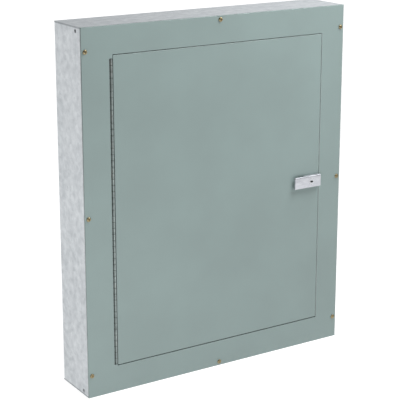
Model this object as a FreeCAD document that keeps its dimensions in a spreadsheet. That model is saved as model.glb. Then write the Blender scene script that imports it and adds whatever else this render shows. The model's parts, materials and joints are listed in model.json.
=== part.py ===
"""Wall-mounted fire alarm control panel, as a parametric document.

The origin is the centre of the cabinet's back face, which lies against the wall. +Z is up, +X is to
the right of a person facing the panel, and the door faces -Y. Lengths are in millimetres.
"""
import FreeCAD, Part
import os
from types import SimpleNamespace

import Sketcher

SIZES = {
    # galvanised box
    "box_width": 635.0,
    "box_height": 762.0,
    "box_depth": 111.6,
    "sheet": 1.6,
    "bend_outer": 3.0,
    "bend_inner": 1.4,
    "lip": 22.0,
    "tab": 15.0,
    "mount_span_x": 533.4,
    "mount_span_z": 660.4,
    "mount_hole_radius": 4.0,
    "gauge_hole_radius": 2.6,
    "gauge_hole_setback": 20.0,
    "gauge_hole_drop": 7.5,
    "knockout_radius": 11.1,
    "knockout_slit": 0.5,
    "knockout_bridge": 3.0,
    "knockout_pitch": 84.0,
    # painted trim and its screws
    "trim_thickness": 2.7,
    "trim_edge_radius": 0.8,
    "screw_inset": 8.2,
    "screw_row": 333.4,
    "trim_screw_radius": 2.4,
    "trim_screw_head": 4.7,
    "trim_screw_hole": 2.6,
    "clip_nut": 10.0,
    "clip_nut_thickness": 3.0,
    # door and its continuous hinge
    "door_width": 508.0,
    "door_height": 645.0,
    "door_left_margin": 69.0,
    "door_sheet": 1.9,
    "door_flange": 12.0,
    "door_gap": 1.2,
    "pin_inset": 3.1,
    "pin_depth": 2.2,
    "pin_radius": 1.2,
    "barrel_radius": 2.8,
    "barrel_bore": 1.25,
    "slot_clearance": 5.5,
    "leaf_thickness": 1.2,
    "leaf_width": 25.0,
    "knuckle_pitch": 12.7,
    "knuckle_gap": 0.3,
    "knuckle_count": 50.0,
    "hinge_foot": 2.6,
    # pull and lock
    "lock_height": 0.0,
    "pull_width": 69.0,
    "pull_height": 26.0,
    "pull_depth": 8.5,
    "pull_lip": 28.0,
    "pull_lip_thickness": 3.5,
    "plug_setback": 25.0,
    "lock_barrel_radius": 7.1,
    "plug_radius": 5.0,
    "cam_length": 38.0,
    "cam_width": 14.0,
    "cam_thickness": 2.0,
    "cam_gap": 1.9,
    # equipment plate and main board
    "plate_half_width": 235.0,
    "plate_top": 335.0,
    "plate_bottom": -330.0,
    "plate_front": 18.0,
    "plate_thickness": 2.0,
    "stud_radius": 3.0,
    "stud_span_x": 420.0,
    "stud_span_z": 600.0,
    "board_left": -222.0,
    "board_low": -75.0,
    "board_width": 270.0,
    "board_height": 215.0,
    "board_thickness": 1.6,
    "standoff": 10.4,
    # control plate
    "control_left": -165.0,
    "control_low": 172.0,
    "control_width": 330.0,
    "control_height": 148.0,
    "control_front": 86.5,
    "control_thickness": 1.5,
    "control_board_gap": 13.0,
    "button_radius": 7.0,
    "button_hole": 7.3,
    "button_pitch": 46.0,
    "lamp_radius": 2.5,
    "lamp_pitch": 15.0,
    # transformer and mains terminals
    "core_width": 75.0,
    "core_height": 62.5,
    "core_stack": 35.0,
    "core_leg": 12.5,
    "transformer_x": 150.0,
    "transformer_z": 88.0,
    "mains_left": 95.0,
    "mains_low": -78.0,
    "mains_width": 90.0,
    "mains_height": 32.0,
    "mains_depth": 20.0,
    # batteries
    "battery_width": 151.0,
    "battery_depth": 65.0,
    "battery_height": 94.0,
    "battery_gap": 14.0,
    "shelf_height": -322.0,
    "shelf_depth": 72.0,
}

DOC = FreeCAD.newDocument("fire_alarm_control_panel")
NODES = []


class Size:
    """A length that keeps its number together with the sheet expression it comes from."""

    def __init__(self, value, text=None):
        self.value = float(value)
        self.text = text or f"({self.value:g})"

    def __neg__(self):
        return Size(-self.value, f"(-{self.text})")

    def __add__(self, other):
        return combine(self, "+", other, lambda a, b: a + b)

    def __radd__(self, other):
        return combine(other, "+", self, lambda a, b: a + b)

    def __sub__(self, other):
        return combine(self, "-", other, lambda a, b: a - b)

    def __rsub__(self, other):
        return combine(other, "-", self, lambda a, b: a - b)

    def __mul__(self, other):
        return combine(self, "*", other, lambda a, b: a * b)

    def __rmul__(self, other):
        return combine(other, "*", self, lambda a, b: a * b)

    def __truediv__(self, other):
        return combine(self, "/", other, lambda a, b: a / b)


def as_size(value):
    """Wrap a plain number as a Size."""
    return value if isinstance(value, Size) else Size(value)


def combine(left, sign, right, rule):
    """Work out one arithmetic step in numbers and in the sheet's own words."""
    left = as_size(left)
    right = as_size(right)
    return Size(rule(left.value, right.value), f"({left.text} {sign} {right.text})")


def make_sheet():
    """Write the driving dimensions to a spreadsheet and return them as named Sizes."""
    sheet = DOC.addObject("Spreadsheet::Sheet", "Dims")
    for row, (name, value) in enumerate(SIZES.items(), start=1):
        sheet.set(f"A{row}", name)
        sheet.set(f"B{row}", str(value))
        sheet.setAlias(f"B{row}", name)
    DOC.recompute()
    return SimpleNamespace(**{name: Size(value, f"Dims.{name}") for name, value in SIZES.items()})


dim = make_sheet()

# Positions that several pieces share, all worked out from the sheet.
half_width = dim.box_width / 2
half_height = dim.box_height / 2
trim_back = -dim.box_depth
trim_front = trim_back - dim.trim_thickness
door_left = dim.door_left_margin - half_width
door_right = door_left + dim.door_width
door_top = dim.door_height / 2
door_bottom = -door_top
door_back = trim_front + dim.door_sheet
pin_x = door_left - dim.pin_inset
pin_y = trim_front + dim.pin_depth
hinge_bottom = door_bottom + dim.hinge_foot
hinge_length = dim.knuckle_pitch * dim.knuckle_count
pull_left = door_right - dim.pull_width
pull_front = trim_front - dim.pull_depth
plug_x = door_right - dim.plug_setback
flange_back = door_back + dim.door_flange
plate_face = -dim.plate_front
board_face = plate_face - dim.standoff - dim.board_thickness
control_back = dim.control_thickness - dim.control_front
control_board_face = control_back + dim.control_board_gap


# ---------------------------------------------------------------- drawing helpers

def bind(item, prop, size):
    """Tie one property to the sheet."""
    item.setExpression(prop, as_size(size).text)


def place(item, at):
    """Tie an object's position to the sheet."""
    for axis, size in zip("xyz", at):
        bind(item, f"Placement.Base.{axis}", size)


def keep(item, label):
    """Name a finished sub-part."""
    item.Label = label
    NODES.append(item)
    return item


def block(name, low, size):
    """Box from its low corner and its three sides."""
    item = DOC.addObject("Part::Box", name)
    for prop, side in zip(("Length", "Width", "Height"), size):
        bind(item, prop, side)
    place(item, low)
    return item


def turned(kind, name, at, along):
    """Primitive whose own axis points along x, y or z."""
    item = DOC.addObject(kind, name)
    rotations = {
        "x": FreeCAD.Rotation(FreeCAD.Vector(0, 1, 0), 90),
        "y": FreeCAD.Rotation(FreeCAD.Vector(1, 0, 0), -90),
        "z": FreeCAD.Rotation(),
    }
    item.Placement = FreeCAD.Placement(FreeCAD.Vector(), rotations[along])
    place(item, at)
    return item


def rod(name, start, radius, length, along="y"):
    """Round bar from the centre of its low end."""
    item = turned("Part::Cylinder", name, start, along)
    bind(item, "Radius", radius)
    bind(item, "Height", length)
    return item


def taper(name, start, first, last, length, along="y"):
    """Tapered round bar from the centre of its low end."""
    item = turned("Part::Cone", name, start, along)
    bind(item, "Radius1", first)
    bind(item, "Radius2", last)
    bind(item, "Height", length)
    return item


def hexagon(name, start, radius, length, along="y"):
    """Six-sided bar from the centre of its low end; radius reaches its corners."""
    item = turned("Part::Prism", name, start, along)
    item.Polygon = 6
    bind(item, "Circumradius", radius)
    bind(item, "Height", length)
    return item


def join(name, items):
    """Fuse touching solids into one."""
    item = DOC.addObject("Part::MultiFuse", name)
    item.Shapes = items
    item.Refine = True
    return item


def group(name, items):
    """Keep separate solids together in one node."""
    item = DOC.addObject("Part::Compound", name)
    item.Links = items
    return item


def cut(name, base, tools):
    """Take one or more solids away from a base solid."""
    item = DOC.addObject("Part::Cut", name)
    item.Base = base
    item.Tool = tools[0] if len(tools) == 1 else join(f"{name}_tools", tools)
    item.Refine = True
    return item


def new_body(name):
    """Start a PartDesign body."""
    return DOC.addObject("PartDesign::Body", name)


def origin_feature(body, role):
    """Find one of the body's own origin planes or axes."""
    return next(item for item in body.Origin.OriginFeatures if item.Role == role)


def new_sketch(body, role, offset):
    """Attach an empty sketch to one of the body's own origin planes, moved along its normal."""
    sketch = body.newObject("Sketcher::SketchObject", f"{body.Name}_sketch")
    sketch.AttachmentSupport = [(origin_feature(body, role), "")]
    sketch.MapMode = "FlatFace"
    bind(sketch, "AttachmentOffset.Base.z", offset)
    return sketch


def constrain(sketch, kind, where, size):
    """Add one constraint and tie it to the sheet."""
    index = sketch.addConstraint(Sketcher.Constraint(kind, *where, as_size(size).value))
    name = f"{kind}_{index}"
    sketch.renameConstraint(index, name)
    bind(sketch, f"Constraints.{name}", size)


def outline(sketch, corners):
    """Closed outline through fully constrained corners."""
    points = [FreeCAD.Vector(as_size(u).value, as_size(v).value, 0) for u, v in corners]
    first = sketch.GeometryCount
    count = len(points)
    for index, point in enumerate(points):
        sketch.addGeometry(Part.LineSegment(point, points[(index + 1) % count]), False)
    for index in range(count):
        after = first + (index + 1) % count
        sketch.addConstraint(Sketcher.Constraint("Coincident", first + index, 2, after, 1))
    for index, (u, v) in enumerate(corners):
        constrain(sketch, "DistanceX", (-1, 1, first + index, 1), u)
        constrain(sketch, "DistanceY", (-1, 1, first + index, 1), v)


def rectangle(sketch, low, high):
    """Rectangle between two corners."""
    outline(sketch, [low, (high[0], low[1]), high, (low[0], high[1])])


def circles(sketch, centres, radius):
    """Equal circles at fully constrained centres."""
    for u, v in centres:
        centre = FreeCAD.Vector(as_size(u).value, as_size(v).value, 0)
        index = sketch.addGeometry(Part.Circle(centre, FreeCAD.Vector(0, 0, 1), as_size(radius).value), False)
        constrain(sketch, "DistanceX", (-1, 1, index, 3), u)
        constrain(sketch, "DistanceY", (-1, 1, index, 3), v)
        constrain(sketch, "Radius", (index,), radius)


def pad(body, sketch, length):
    """Extrude a sketch along its plane's normal."""
    feature = body.newObject("PartDesign::Pad", f"{body.Name}_pad")
    feature.Profile = sketch
    bind(feature, "Length", length)
    DOC.recompute()
    return feature


def pocket(body, sketch, length):
    """Cut a sketch against its plane's normal, and check that it took material away."""
    before = body.Shape.Volume
    feature = body.newObject("PartDesign::Pocket", f"{body.Name}_pocket")
    feature.Profile = sketch
    bind(feature, "Length", length)
    DOC.recompute()
    if body.Shape.Volume >= before:
        raise RuntimeError(f"{feature.Name} cut nothing")
    return feature


def pad_box(body, low, high, front, depth):
    """Pad a rectangle, given in X and Z, from the plane y = front + depth forwards to y = front."""
    sketch = new_sketch(body, "XZ_Plane", -(front + depth))
    rectangle(sketch, low, high)
    return pad(body, sketch, depth)


def drill(body, centres, radius, front, depth):
    """Drill round holes backwards along +Y from the plane y = front."""
    sketch = new_sketch(body, "XZ_Plane", -front)
    circles(sketch, centres, radius)
    return pocket(body, sketch, depth)


def round_edges(body, radius, wanted):
    """Fillet the body's edges that a test picks out by their centre and their extent."""
    base = body.Tip
    names = [
        f"Edge{index}"
        for index, edge in enumerate(base.Shape.Edges, start=1)
        if wanted(edge.BoundBox.Center, edge.BoundBox)
    ]
    feature = body.newObject("PartDesign::Fillet", f"{body.Name}_fillet")
    feature.Base = (base, names)
    bind(feature, "Radius", radius)
    DOC.recompute()
    return feature


def near(value, size):
    """True when a measured number lies on a position."""
    return abs(value - as_size(size).value) < 0.01


def screw(name, at, head, shank, length, head_height=2.2):
    """Cross-recess screw: at is the centre of its seat, its head stands towards -Y."""
    x, y, z = at
    rim = rod(f"{name}_rim", (x, y - head_height / 2, z), head, head_height / 2)
    crown = taper(f"{name}_crown", (x, y - head_height, z), head * 0.72, head, head_height / 2)
    stem = rod(f"{name}_stem", (x, y, z), shank, length)
    solid = join(f"{name}_solid", [rim, crown, stem])
    arm = head * 0.55
    blade = head * 0.12
    depth = head_height * 0.7
    upright = block(f"{name}_upright", (x - blade, y - head_height, z - arm), (blade * 2, depth, arm * 2))
    level = block(f"{name}_level", (x - arm, y - head_height, z - blade), (arm * 2, depth, blade * 2))
    return cut(name, solid, [upright, level])


def nut(name, at, radius, bore, height):
    """Hexagon nut standing towards -Y from its seat."""
    x, y, z = at
    body = hexagon(f"{name}_hexagon", (x, y - height, z), radius, height)
    hole = rod(f"{name}_bore", (x, y - height - 1, z), bore, height + 2)
    return cut(name, body, [hole])


# ---------------------------------------------------------------- galvanised box

def side_screw_rows():
    """Heights of the three trim screws on each side."""
    return [-dim.screw_row, Size(0), dim.screw_row]


def trim_screw_places():
    """The eight trim screws: three on each side, one at the top and one at the bottom."""
    column = half_width - dim.screw_inset
    row = half_height - dim.screw_inset
    sides = [(side * column, height) for side in (-1, 1) for height in side_screw_rows()]
    return sides + [(Size(0), row), (Size(0), -row)]


def box_shell():
    """Left side, back and right side bent from one sheet, with front lips turned inwards."""
    body = new_body("box_shell")
    sketch = new_sketch(body, "XY_Plane", dim.sheet - half_height)
    inner = half_width - dim.sheet
    lip_end = half_width - dim.lip
    lip_back = trim_back + dim.sheet
    outline(sketch, [
        (-lip_end, trim_back), (-half_width, trim_back), (-half_width, 0), (half_width, 0),
        (half_width, trim_back), (lip_end, trim_back), (lip_end, lip_back), (inner, lip_back),
        (inner, -dim.sheet), (-inner, -dim.sheet), (-inner, lip_back), (-lip_end, lip_back),
    ])
    pad(body, sketch, dim.box_height - 2 * dim.sheet)

    def outer_bend(centre, _):
        return near(abs(centre.x), half_width) and (near(centre.y, 0) or near(centre.y, trim_back))

    def inner_bend(centre, _):
        return near(abs(centre.x), inner) and (near(centre.y, -dim.sheet) or near(centre.y, lip_back))

    round_edges(body, dim.bend_outer, lambda centre, box: outer_bend(centre, box) and box.ZLength > 100)
    round_edges(body, dim.bend_inner, lambda centre, box: inner_bend(centre, box) and box.ZLength > 100)
    mounts = [(i * dim.mount_span_x / 2, k * dim.mount_span_z / 2) for i in (-1, 1) for k in (-1, 1)]
    drill(body, mounts, dim.mount_hole_radius, -dim.sheet, dim.sheet)
    column = half_width - dim.screw_inset
    lip_holes = [(side * column, height) for side in (-1, 1) for height in side_screw_rows()]
    drill(body, lip_holes, dim.trim_screw_hole, trim_back, dim.sheet)
    gauge = new_sketch(body, "YZ_Plane", half_width)
    circles(gauge, gauge_holes(), dim.gauge_hole_radius)
    pocket(body, gauge, dim.box_width)
    keep(body, "box_shell")


def gauge_holes():
    """Holes near the front corners that line the end walls up with the wrap, in Y and Z."""
    height = half_height - dim.gauge_hole_drop
    return [(trim_back + dim.gauge_hole_setback, side * height) for side in (-1, 1)]


def end_wall(label, side, knockouts):
    """Top or bottom wall with a front lip, a back tab and two side tabs turned into the box."""
    body = new_body(f"{label}_blank" if knockouts else label)

    def levels(near_edge, far_edge):
        """Z range between two distances from the wall's outer face."""
        ends = [side * (half_height - near_edge), side * (half_height - far_edge)]
        return sorted(ends, key=lambda end: end.value)

    low, high = levels(0, dim.sheet)
    plate = new_sketch(body, "XY_Plane", low)
    rectangle(plate, (-half_width, trim_back), (half_width, 0))
    pad(body, plate, high - low)
    low, high = levels(dim.sheet, dim.lip)
    lip_end = half_width - dim.lip - 0.5
    pad_box(body, (-lip_end, low), (lip_end, high), trim_back, dim.sheet)
    low, high = levels(dim.sheet, dim.tab)
    tab_end = half_width - dim.tab
    pad_box(body, (-tab_end, low), (tab_end, high), -2 * dim.sheet, dim.sheet)
    for start in (dim.sheet - half_width, half_width - 2 * dim.sheet):
        tab = new_sketch(body, "YZ_Plane", start)
        rectangle(tab, (trim_back + dim.sheet * 2, low), (-dim.tab, high))
        pad(body, tab, dim.sheet)
    gauge = new_sketch(body, "YZ_Plane", half_width)
    circles(gauge, gauge_holes()[:1] if side < 0 else gauge_holes()[1:], dim.gauge_hole_radius)
    pocket(body, gauge, dim.box_width)
    drill(body, [(Size(0), side * (half_height - dim.screw_inset))], dim.trim_screw_hole, trim_back, dim.sheet)
    if not knockouts:
        keep(body, label)
        return
    slits = [knockout_slit(f"{label}_knockout_{i}", i, side) for i in (-2, -1, 0, 1, 2)]
    wall = DOC.addObject("Part::Cut", f"{label}_punched")
    wall.Base = body
    wall.Tool = group(f"{label}_slits", slits)
    keep(wall, label)


def knockout_slit(name, index, side):
    """Ring-shaped slit that leaves a round slug held by two bridges."""
    centre_x = index * dim.knockout_pitch
    centre_y = trim_back / 2
    low = side * half_height - dim.sheet
    height = 2 * dim.sheet
    disc = rod(f"{name}_disc", (centre_x, centre_y, low), dim.knockout_radius, height, "z")
    slug = rod(f"{name}_slug", (centre_x, centre_y, low), dim.knockout_radius - dim.knockout_slit, height, "z")
    reach = dim.knockout_radius + 1
    corner = (centre_x - reach, centre_y - dim.knockout_bridge / 2, low)
    bridge = block(f"{name}_bridge", corner, (reach * 2, dim.knockout_bridge, height))
    return cut(name, disc, [slug, bridge])


# ---------------------------------------------------------------- trim

def trim_frame():
    """Flat painted front with the door opening and, at its left, the slot for the hinge barrel."""
    body = new_body("trim_frame")
    pad_box(body, (-half_width, -half_height), (half_width, half_height), trim_front, dim.trim_thickness)

    def front_rim(centre, box):
        return near(box.YMin, trim_front) and near(box.YMax, trim_front)

    round_edges(body, dim.trim_edge_radius, front_rim)
    left = door_left - dim.door_gap
    right = door_right + dim.door_gap
    top = door_top + dim.door_gap
    slot_left = pin_x - dim.slot_clearance
    slot_low = hinge_bottom - 1
    slot_high = hinge_bottom + hinge_length + 1
    opening = new_sketch(body, "XZ_Plane", -trim_front)
    outline(opening, [
        (left, -top), (right, -top), (right, top), (left, top),
        (left, slot_high), (slot_left, slot_high), (slot_left, slot_low), (left, slot_low),
    ])
    pocket(body, opening, dim.trim_thickness)
    drill(body, trim_screw_places(), dim.trim_screw_hole, trim_front, dim.trim_thickness)
    keep(body, "trim_frame")


def trim_screws():
    """Eight cross-recess screws that hold the trim to the box's lips."""
    length = dim.trim_thickness + dim.sheet + dim.clip_nut_thickness + 4
    items = [
        screw(f"trim_screw_{index}", (x, trim_front, z), dim.trim_screw_head, dim.trim_screw_radius, length, 2.4)
        for index, (x, z) in enumerate(trim_screw_places())
    ]
    keep(group("trim_screws", items), "trim_screws")


def trim_clip_nuts():
    """Square nuts behind the lips."""
    items = []
    back = trim_back + dim.sheet
    for index, (x, z) in enumerate(trim_screw_places()):
        name = f"clip_nut_{index}"
        half = dim.clip_nut / 2
        sides = (half * 2, dim.clip_nut_thickness, half * 2)
        plate = block(f"{name}_plate", (x - half, back, z - half), sides)
        hole = rod(f"{name}_hole", (x, back - 1, z), dim.trim_screw_radius + 0.05, dim.clip_nut_thickness + 2)
        items.append(cut(name, plate, [hole]))
    keep(group("trim_clip_nuts", items), "trim_clip_nuts")


def strike_bracket():
    """Z-shaped bracket behind the trim that the lock's cam turns behind."""
    low = dim.lock_height - 16
    left = door_right + dim.door_gap + 3.5
    back = flange_back - 0.4
    foot = block("strike_foot", (left, trim_back, low), (20, dim.sheet, 32))
    web = block("strike_web", (left, trim_back, low), (dim.sheet, back - trim_back + dim.sheet, 32))
    catch = block("strike_catch", (left, back, low), (15, dim.sheet, 32))
    keep(join("strike_bracket", [foot, web, catch]), "strike_bracket")


def door_stops():
    """Four Z-shaped tabs behind the trim's right side, each with a rubber bumper for the door."""
    tabs = []
    bumpers = []
    left = door_right + dim.door_gap + 3.5
    tongue_front = flange_back + 2.4
    for index, height in enumerate((-230, -110, 110, 230)):
        low = Size(height) - 10
        foot = block(f"stop_foot_{index}", (left, trim_back, low), (16, dim.sheet, 20))
        depth = tongue_front - trim_back + dim.sheet
        web = block(f"stop_web_{index}", (left, trim_back, low), (dim.sheet, depth, 20))
        tongue = block(f"stop_tongue_{index}", (left - 14, tongue_front, low), (15, dim.sheet, 20))
        tabs.append(join(f"stop_tab_{index}", [foot, web, tongue]))
        corner = (left - 13, flange_back + 0.3, low + 4)
        bumpers.append(block(f"bumper_{index}", corner, (10, tongue_front - flange_back - 0.3, 12)))
    keep(group("door_stop_tabs", tabs), "door_stop_tabs")
    keep(group("door_bumpers", bumpers), "door_bumpers")


# ---------------------------------------------------------------- continuous hinge

def hinge_leaf(label, side, front, first_knuckle):
    """Leaf with every second knuckle; side is -1 for the trim's leaf and +1 for the door's."""
    body = new_body(label)
    near_edge = pin_x + side * dim.pin_inset
    far_edge = pin_x + side * dim.leaf_width
    low_x, high_x = sorted([near_edge, far_edge], key=lambda edge: edge.value)
    hinge_top = hinge_bottom + hinge_length
    pad_box(body, (low_x, hinge_bottom), (high_x, hinge_top), front, dim.leaf_thickness)
    start = hinge_bottom + first_knuckle * dim.knuckle_pitch + dim.knuckle_gap / 2
    length = dim.knuckle_pitch - dim.knuckle_gap
    neck_ends = [pin_x + side * 1.5, pin_x + side * (dim.pin_inset + 1)]
    low_x, high_x = sorted(neck_ends, key=lambda edge: edge.value)
    neck = new_sketch(body, "XY_Plane", start)
    rectangle(neck, (low_x, front), (high_x, front + dim.leaf_thickness))
    neck_pad = pad(body, neck, length)
    barrel = new_sketch(body, "XY_Plane", start)
    circles(barrel, [(pin_x, pin_y)], dim.barrel_radius)
    barrel_pad = pad(body, barrel, length)
    row = body.newObject("PartDesign::LinearPattern", f"{label}_row")
    row.Originals = [neck_pad, barrel_pad]
    row.Direction = (origin_feature(body, "Z_Axis"), [""])
    bind(row, "Length", (dim.knuckle_count - 2) * dim.knuckle_pitch)
    row.Occurrences = int(SIZES["knuckle_count"] / 2)
    body.Tip = row
    DOC.recompute()
    bore = new_sketch(body, "XY_Plane", hinge_top + 1)
    circles(bore, [(pin_x, pin_y)], dim.barrel_bore)
    pocket(body, bore, hinge_length + 2)
    keep(body, label)


def hinge_pin():
    """Pin through all the knuckles."""
    pin = rod("hinge_pin", (pin_x, pin_y, hinge_bottom + 0.5), dim.pin_radius, hinge_length - 1, "z")
    keep(pin, "hinge_pin")


# ---------------------------------------------------------------- door

def door_panel():
    """Flush door with flanges turned back at its top, bottom and free side."""
    body = new_body("door_panel")
    pad_box(body, (door_left, door_bottom), (door_right, door_top), trim_front, dim.door_sheet)
    flange_left = door_left + 1
    inner_right = door_right - dim.door_sheet
    pad_box(body, (inner_right, door_bottom), (door_right, door_top), door_back, dim.door_flange)
    for low in (door_bottom, door_top - dim.door_sheet):
        high = low + dim.door_sheet
        pad_box(body, (flange_left, low), (inner_right, high), door_back, dim.door_flange)

    def folded_rim(centre, box):
        on_front = near(box.YMin, trim_front) and near(box.YMax, trim_front)
        return on_front and not near(centre.x, door_left)

    round_edges(body, 1.0, folded_rim)
    drill(body, [(plug_x, dim.lock_height)], dim.lock_barrel_radius + 0.1, trim_front, dim.door_sheet)
    keep(body, "door_panel")


def card_holder():
    """Three-sided channel on the back of the door, for a record card."""
    left = door_left + 150
    low = Size(-60)
    width = 200
    height = 150
    rail = 9
    outer = block("holder_outer", (left, door_back, low), (width, 4, height))
    window = block("holder_window", (left + rail, door_back - 1, low + rail), (width - 2 * rail, 6, height))
    groove_corner = (left + rail - 5, door_back + 1.2, low + rail - 5)
    groove = block("holder_groove", groove_corner, (width - 2 * rail + 10, 1.3, height))
    keep(cut("card_holder", outer, [window, groove]), "card_holder")


# ---------------------------------------------------------------- pull and lock

def lock_pull():
    """Die-cast pull: a block around the lock with a lip on its left for the fingers."""
    body = new_body("lock_pull")
    low = dim.lock_height - dim.pull_height / 2
    sketch = new_sketch(body, "XY_Plane", low)
    lip_back = pull_front + dim.pull_lip_thickness
    root = pull_left + dim.pull_lip
    outline(sketch, [
        (pull_left, pull_front), (door_right, pull_front), (door_right, trim_front),
        (root, trim_front), (root, lip_back), (pull_left, lip_back),
    ])
    pad(body, sketch, dim.pull_height)

    def root_corner(centre, box):
        return near(centre.x, root) and near(centre.y, lip_back) and box.ZLength > 10

    def face_rim(centre, box):
        return near(box.YMin, pull_front) and near(box.YMax, pull_front)

    round_edges(body, 2.5, root_corner)
    round_edges(body, 1.3, face_rim)
    drill(body, [(plug_x, dim.lock_height)], dim.lock_barrel_radius + 0.05, pull_front, dim.pull_depth)
    keep(body, "lock_pull")


def lock_barrel():
    """Threaded barrel through the pull and the door."""
    front = pull_front - 0.2
    back = flange_back - 0.5
    body = rod("barrel_body", (plug_x, front, dim.lock_height), dim.lock_barrel_radius, back - front)
    bore = rod("barrel_hole", (plug_x, front - 1, dim.lock_height), dim.plug_radius + 0.05, back - front + 2)
    keep(cut("lock_barrel", body, [bore]), "lock_barrel")


def lock_nut():
    """Thin nut that clamps the barrel against the back of the door."""
    seat = (plug_x, door_back, dim.lock_height)
    body = hexagon("lock_nut_hexagon", seat, 12.4, 4)
    bore = rod("lock_nut_bore", (plug_x, door_back - 1, dim.lock_height), dim.lock_barrel_radius + 0.05, 6)
    keep(cut("lock_nut", body, [bore]), "lock_nut")


def lock_plug():
    """Turning plug with its keyway and a square tail for the cam."""
    front = pull_front - 0.3
    shoulder = flange_back + dim.cam_gap - 0.4
    centre = dim.lock_height
    body = rod("plug_body", (plug_x, front, centre), dim.plug_radius, shoulder - front)
    tail = block("plug_tail", (plug_x - 3, shoulder, centre - 3), (6, dim.cam_thickness, 6))
    slot = block("plug_slot", (plug_x - 3.6, front - 1, centre - 1), (7.2, 10, 2))
    well = rod("plug_well", (plug_x, front - 1, centre), 2, 10)
    keyway = join("plug_keyway", [slot, well])
    thread = rod("plug_thread", (plug_x, shoulder - 6, centre), 1.55, 9)
    keep(cut("lock_plug", join("plug_solid", [body, tail]), [keyway, thread]), "lock_plug")


def lock_cam():
    """Cam that hangs down when unlocked and turns behind the strike when locked."""
    front = flange_back + dim.cam_gap - 0.4
    centre = dim.lock_height
    half = dim.cam_width / 2
    hub = rod("cam_hub", (plug_x, front, centre), half, dim.cam_thickness)
    reach = dim.cam_length - half
    arm = block("cam_arm", (plug_x - half, front, centre - reach), (dim.cam_width, dim.cam_thickness, reach))
    tip = rod("cam_tip", (plug_x, front, centre - reach), half, dim.cam_thickness)
    square = block("cam_square", (plug_x - 3.05, front - 1, centre - 3.05), (6.1, dim.cam_thickness + 2, 6.1))
    keep(cut("lock_cam", join("cam_solid", [hub, arm, tip]), [square]), "lock_cam")


def cam_screw():
    """Screw that holds the cam on the plug's tail."""
    seat = flange_back + dim.cam_gap - 0.4 + dim.cam_thickness
    head = rod("cam_screw_head", (plug_x, seat, dim.lock_height), 4.5, 2.2)
    stem = rod("cam_screw_stem", (plug_x, seat - 7, dim.lock_height), 1.5, 7)
    keep(join("cam_screw", [head, stem]), "cam_screw")


# ---------------------------------------------------------------- equipment plate

def stud_places():
    """The four studs welded to the cabinet's back, in X and Z."""
    return [(i * dim.stud_span_x / 2, k * dim.stud_span_z / 2) for i in (-1, 1) for k in (-1, 1)]


def equipment_plate():
    """Plate that carries the equipment, with stiffening flanges along its sides."""
    body = new_body("equipment_plate")
    low = (-dim.plate_half_width, dim.plate_bottom)
    high = (dim.plate_half_width, dim.plate_top)
    pad_box(body, low, high, plate_face, dim.plate_thickness)
    for left in (-dim.plate_half_width, dim.plate_half_width - dim.plate_thickness):
        right = left + dim.plate_thickness
        pad_box(body, (left, dim.plate_bottom), (right, dim.plate_top), plate_face - 10, 10)
    drill(body, stud_places(), dim.stud_radius + 0.5, plate_face, dim.plate_thickness)
    keep(body, "equipment_plate")


def plate_studs():
    """Shouldered studs that hold the equipment plate off the back."""
    items = []
    shoulder = plate_face + dim.plate_thickness
    for index, (x, z) in enumerate(stud_places()):
        collar = rod(f"stud_collar_{index}", (x, shoulder, z), 6.5, -shoulder - dim.sheet)
        stem = rod(f"stud_stem_{index}", (x, shoulder - 14, z), dim.stud_radius, 14)
        items.append(join(f"stud_{index}", [collar, stem]))
    keep(group("plate_studs", items), "plate_studs")


def plate_nuts():
    """Nuts on the studs."""
    items = [
        nut(f"plate_nut_{index}", (x, plate_face, z), 5.8, dim.stud_radius + 0.05, 5)
        for index, (x, z) in enumerate(stud_places())
    ]
    keep(group("plate_nuts", items), "plate_nuts")


def earth_terminal():
    """Earth stud on the cabinet's back with two nuts and a washer."""
    x = -half_width + 38
    z = -half_height + 90
    stem = rod("earth_stem", (x, -dim.sheet - 26, z), 3, 26)
    first = nut("earth_nut_low", (x, -dim.sheet - 6, z), 5.8, 3.05, 5)
    washer = rod("earth_washer_disc", (x, -dim.sheet - 13.2, z), 7, 1.6)
    washer_hole = rod("earth_washer_hole", (x, -dim.sheet - 14, z), 3.1, 4)
    ring = cut("earth_washer", washer, [washer_hole])
    second = nut("earth_nut_high", (x, -dim.sheet - 13.4, z), 5.8, 3.05, 5)
    keep(group("earth_terminal", [stem, first, ring, second]), "earth_terminal")


# ---------------------------------------------------------------- main circuit board

def board_hole_places():
    """Fixing holes of the main board, in X and Z."""
    inset = 7
    columns = [dim.board_left + inset, dim.board_left + dim.board_width - inset]
    rows = [dim.board_low + inset, dim.board_low + dim.board_height - inset]
    return [(x, z) for x in columns for z in rows]


def control_hole_places():
    """Fixing holes of the control plate's board, in X and Z."""
    inset = 20
    columns = [dim.control_left + inset, dim.control_left + dim.control_width - inset]
    rows = [dim.control_low + inset - 8, dim.control_low + dim.control_height - inset + 8]
    return [(x, z) for x in columns for z in rows]


def board_plate(label, low, high, front, holes):
    """Bare circuit board with round fixing holes."""
    body = new_body(label)
    pad_box(body, low, high, front, dim.board_thickness)
    drill(body, holes, 1.7, front, dim.board_thickness)
    keep(body, label)


def main_circuit_board():
    """Board that watches the detection zones and drives the sounder circuits."""
    low = (dim.board_left, dim.board_low)
    high = (dim.board_left + dim.board_width, dim.board_low + dim.board_height)
    board_plate("main_circuit_board", low, high, board_face, board_hole_places())


def control_circuit_board():
    """Board behind the control plate."""
    low = (dim.control_left + 12, dim.control_low + 5)
    high = (dim.control_left + dim.control_width - 12, dim.control_low + dim.control_height - 5)
    board_plate("control_circuit_board", low, high, control_board_face, control_hole_places())


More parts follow.
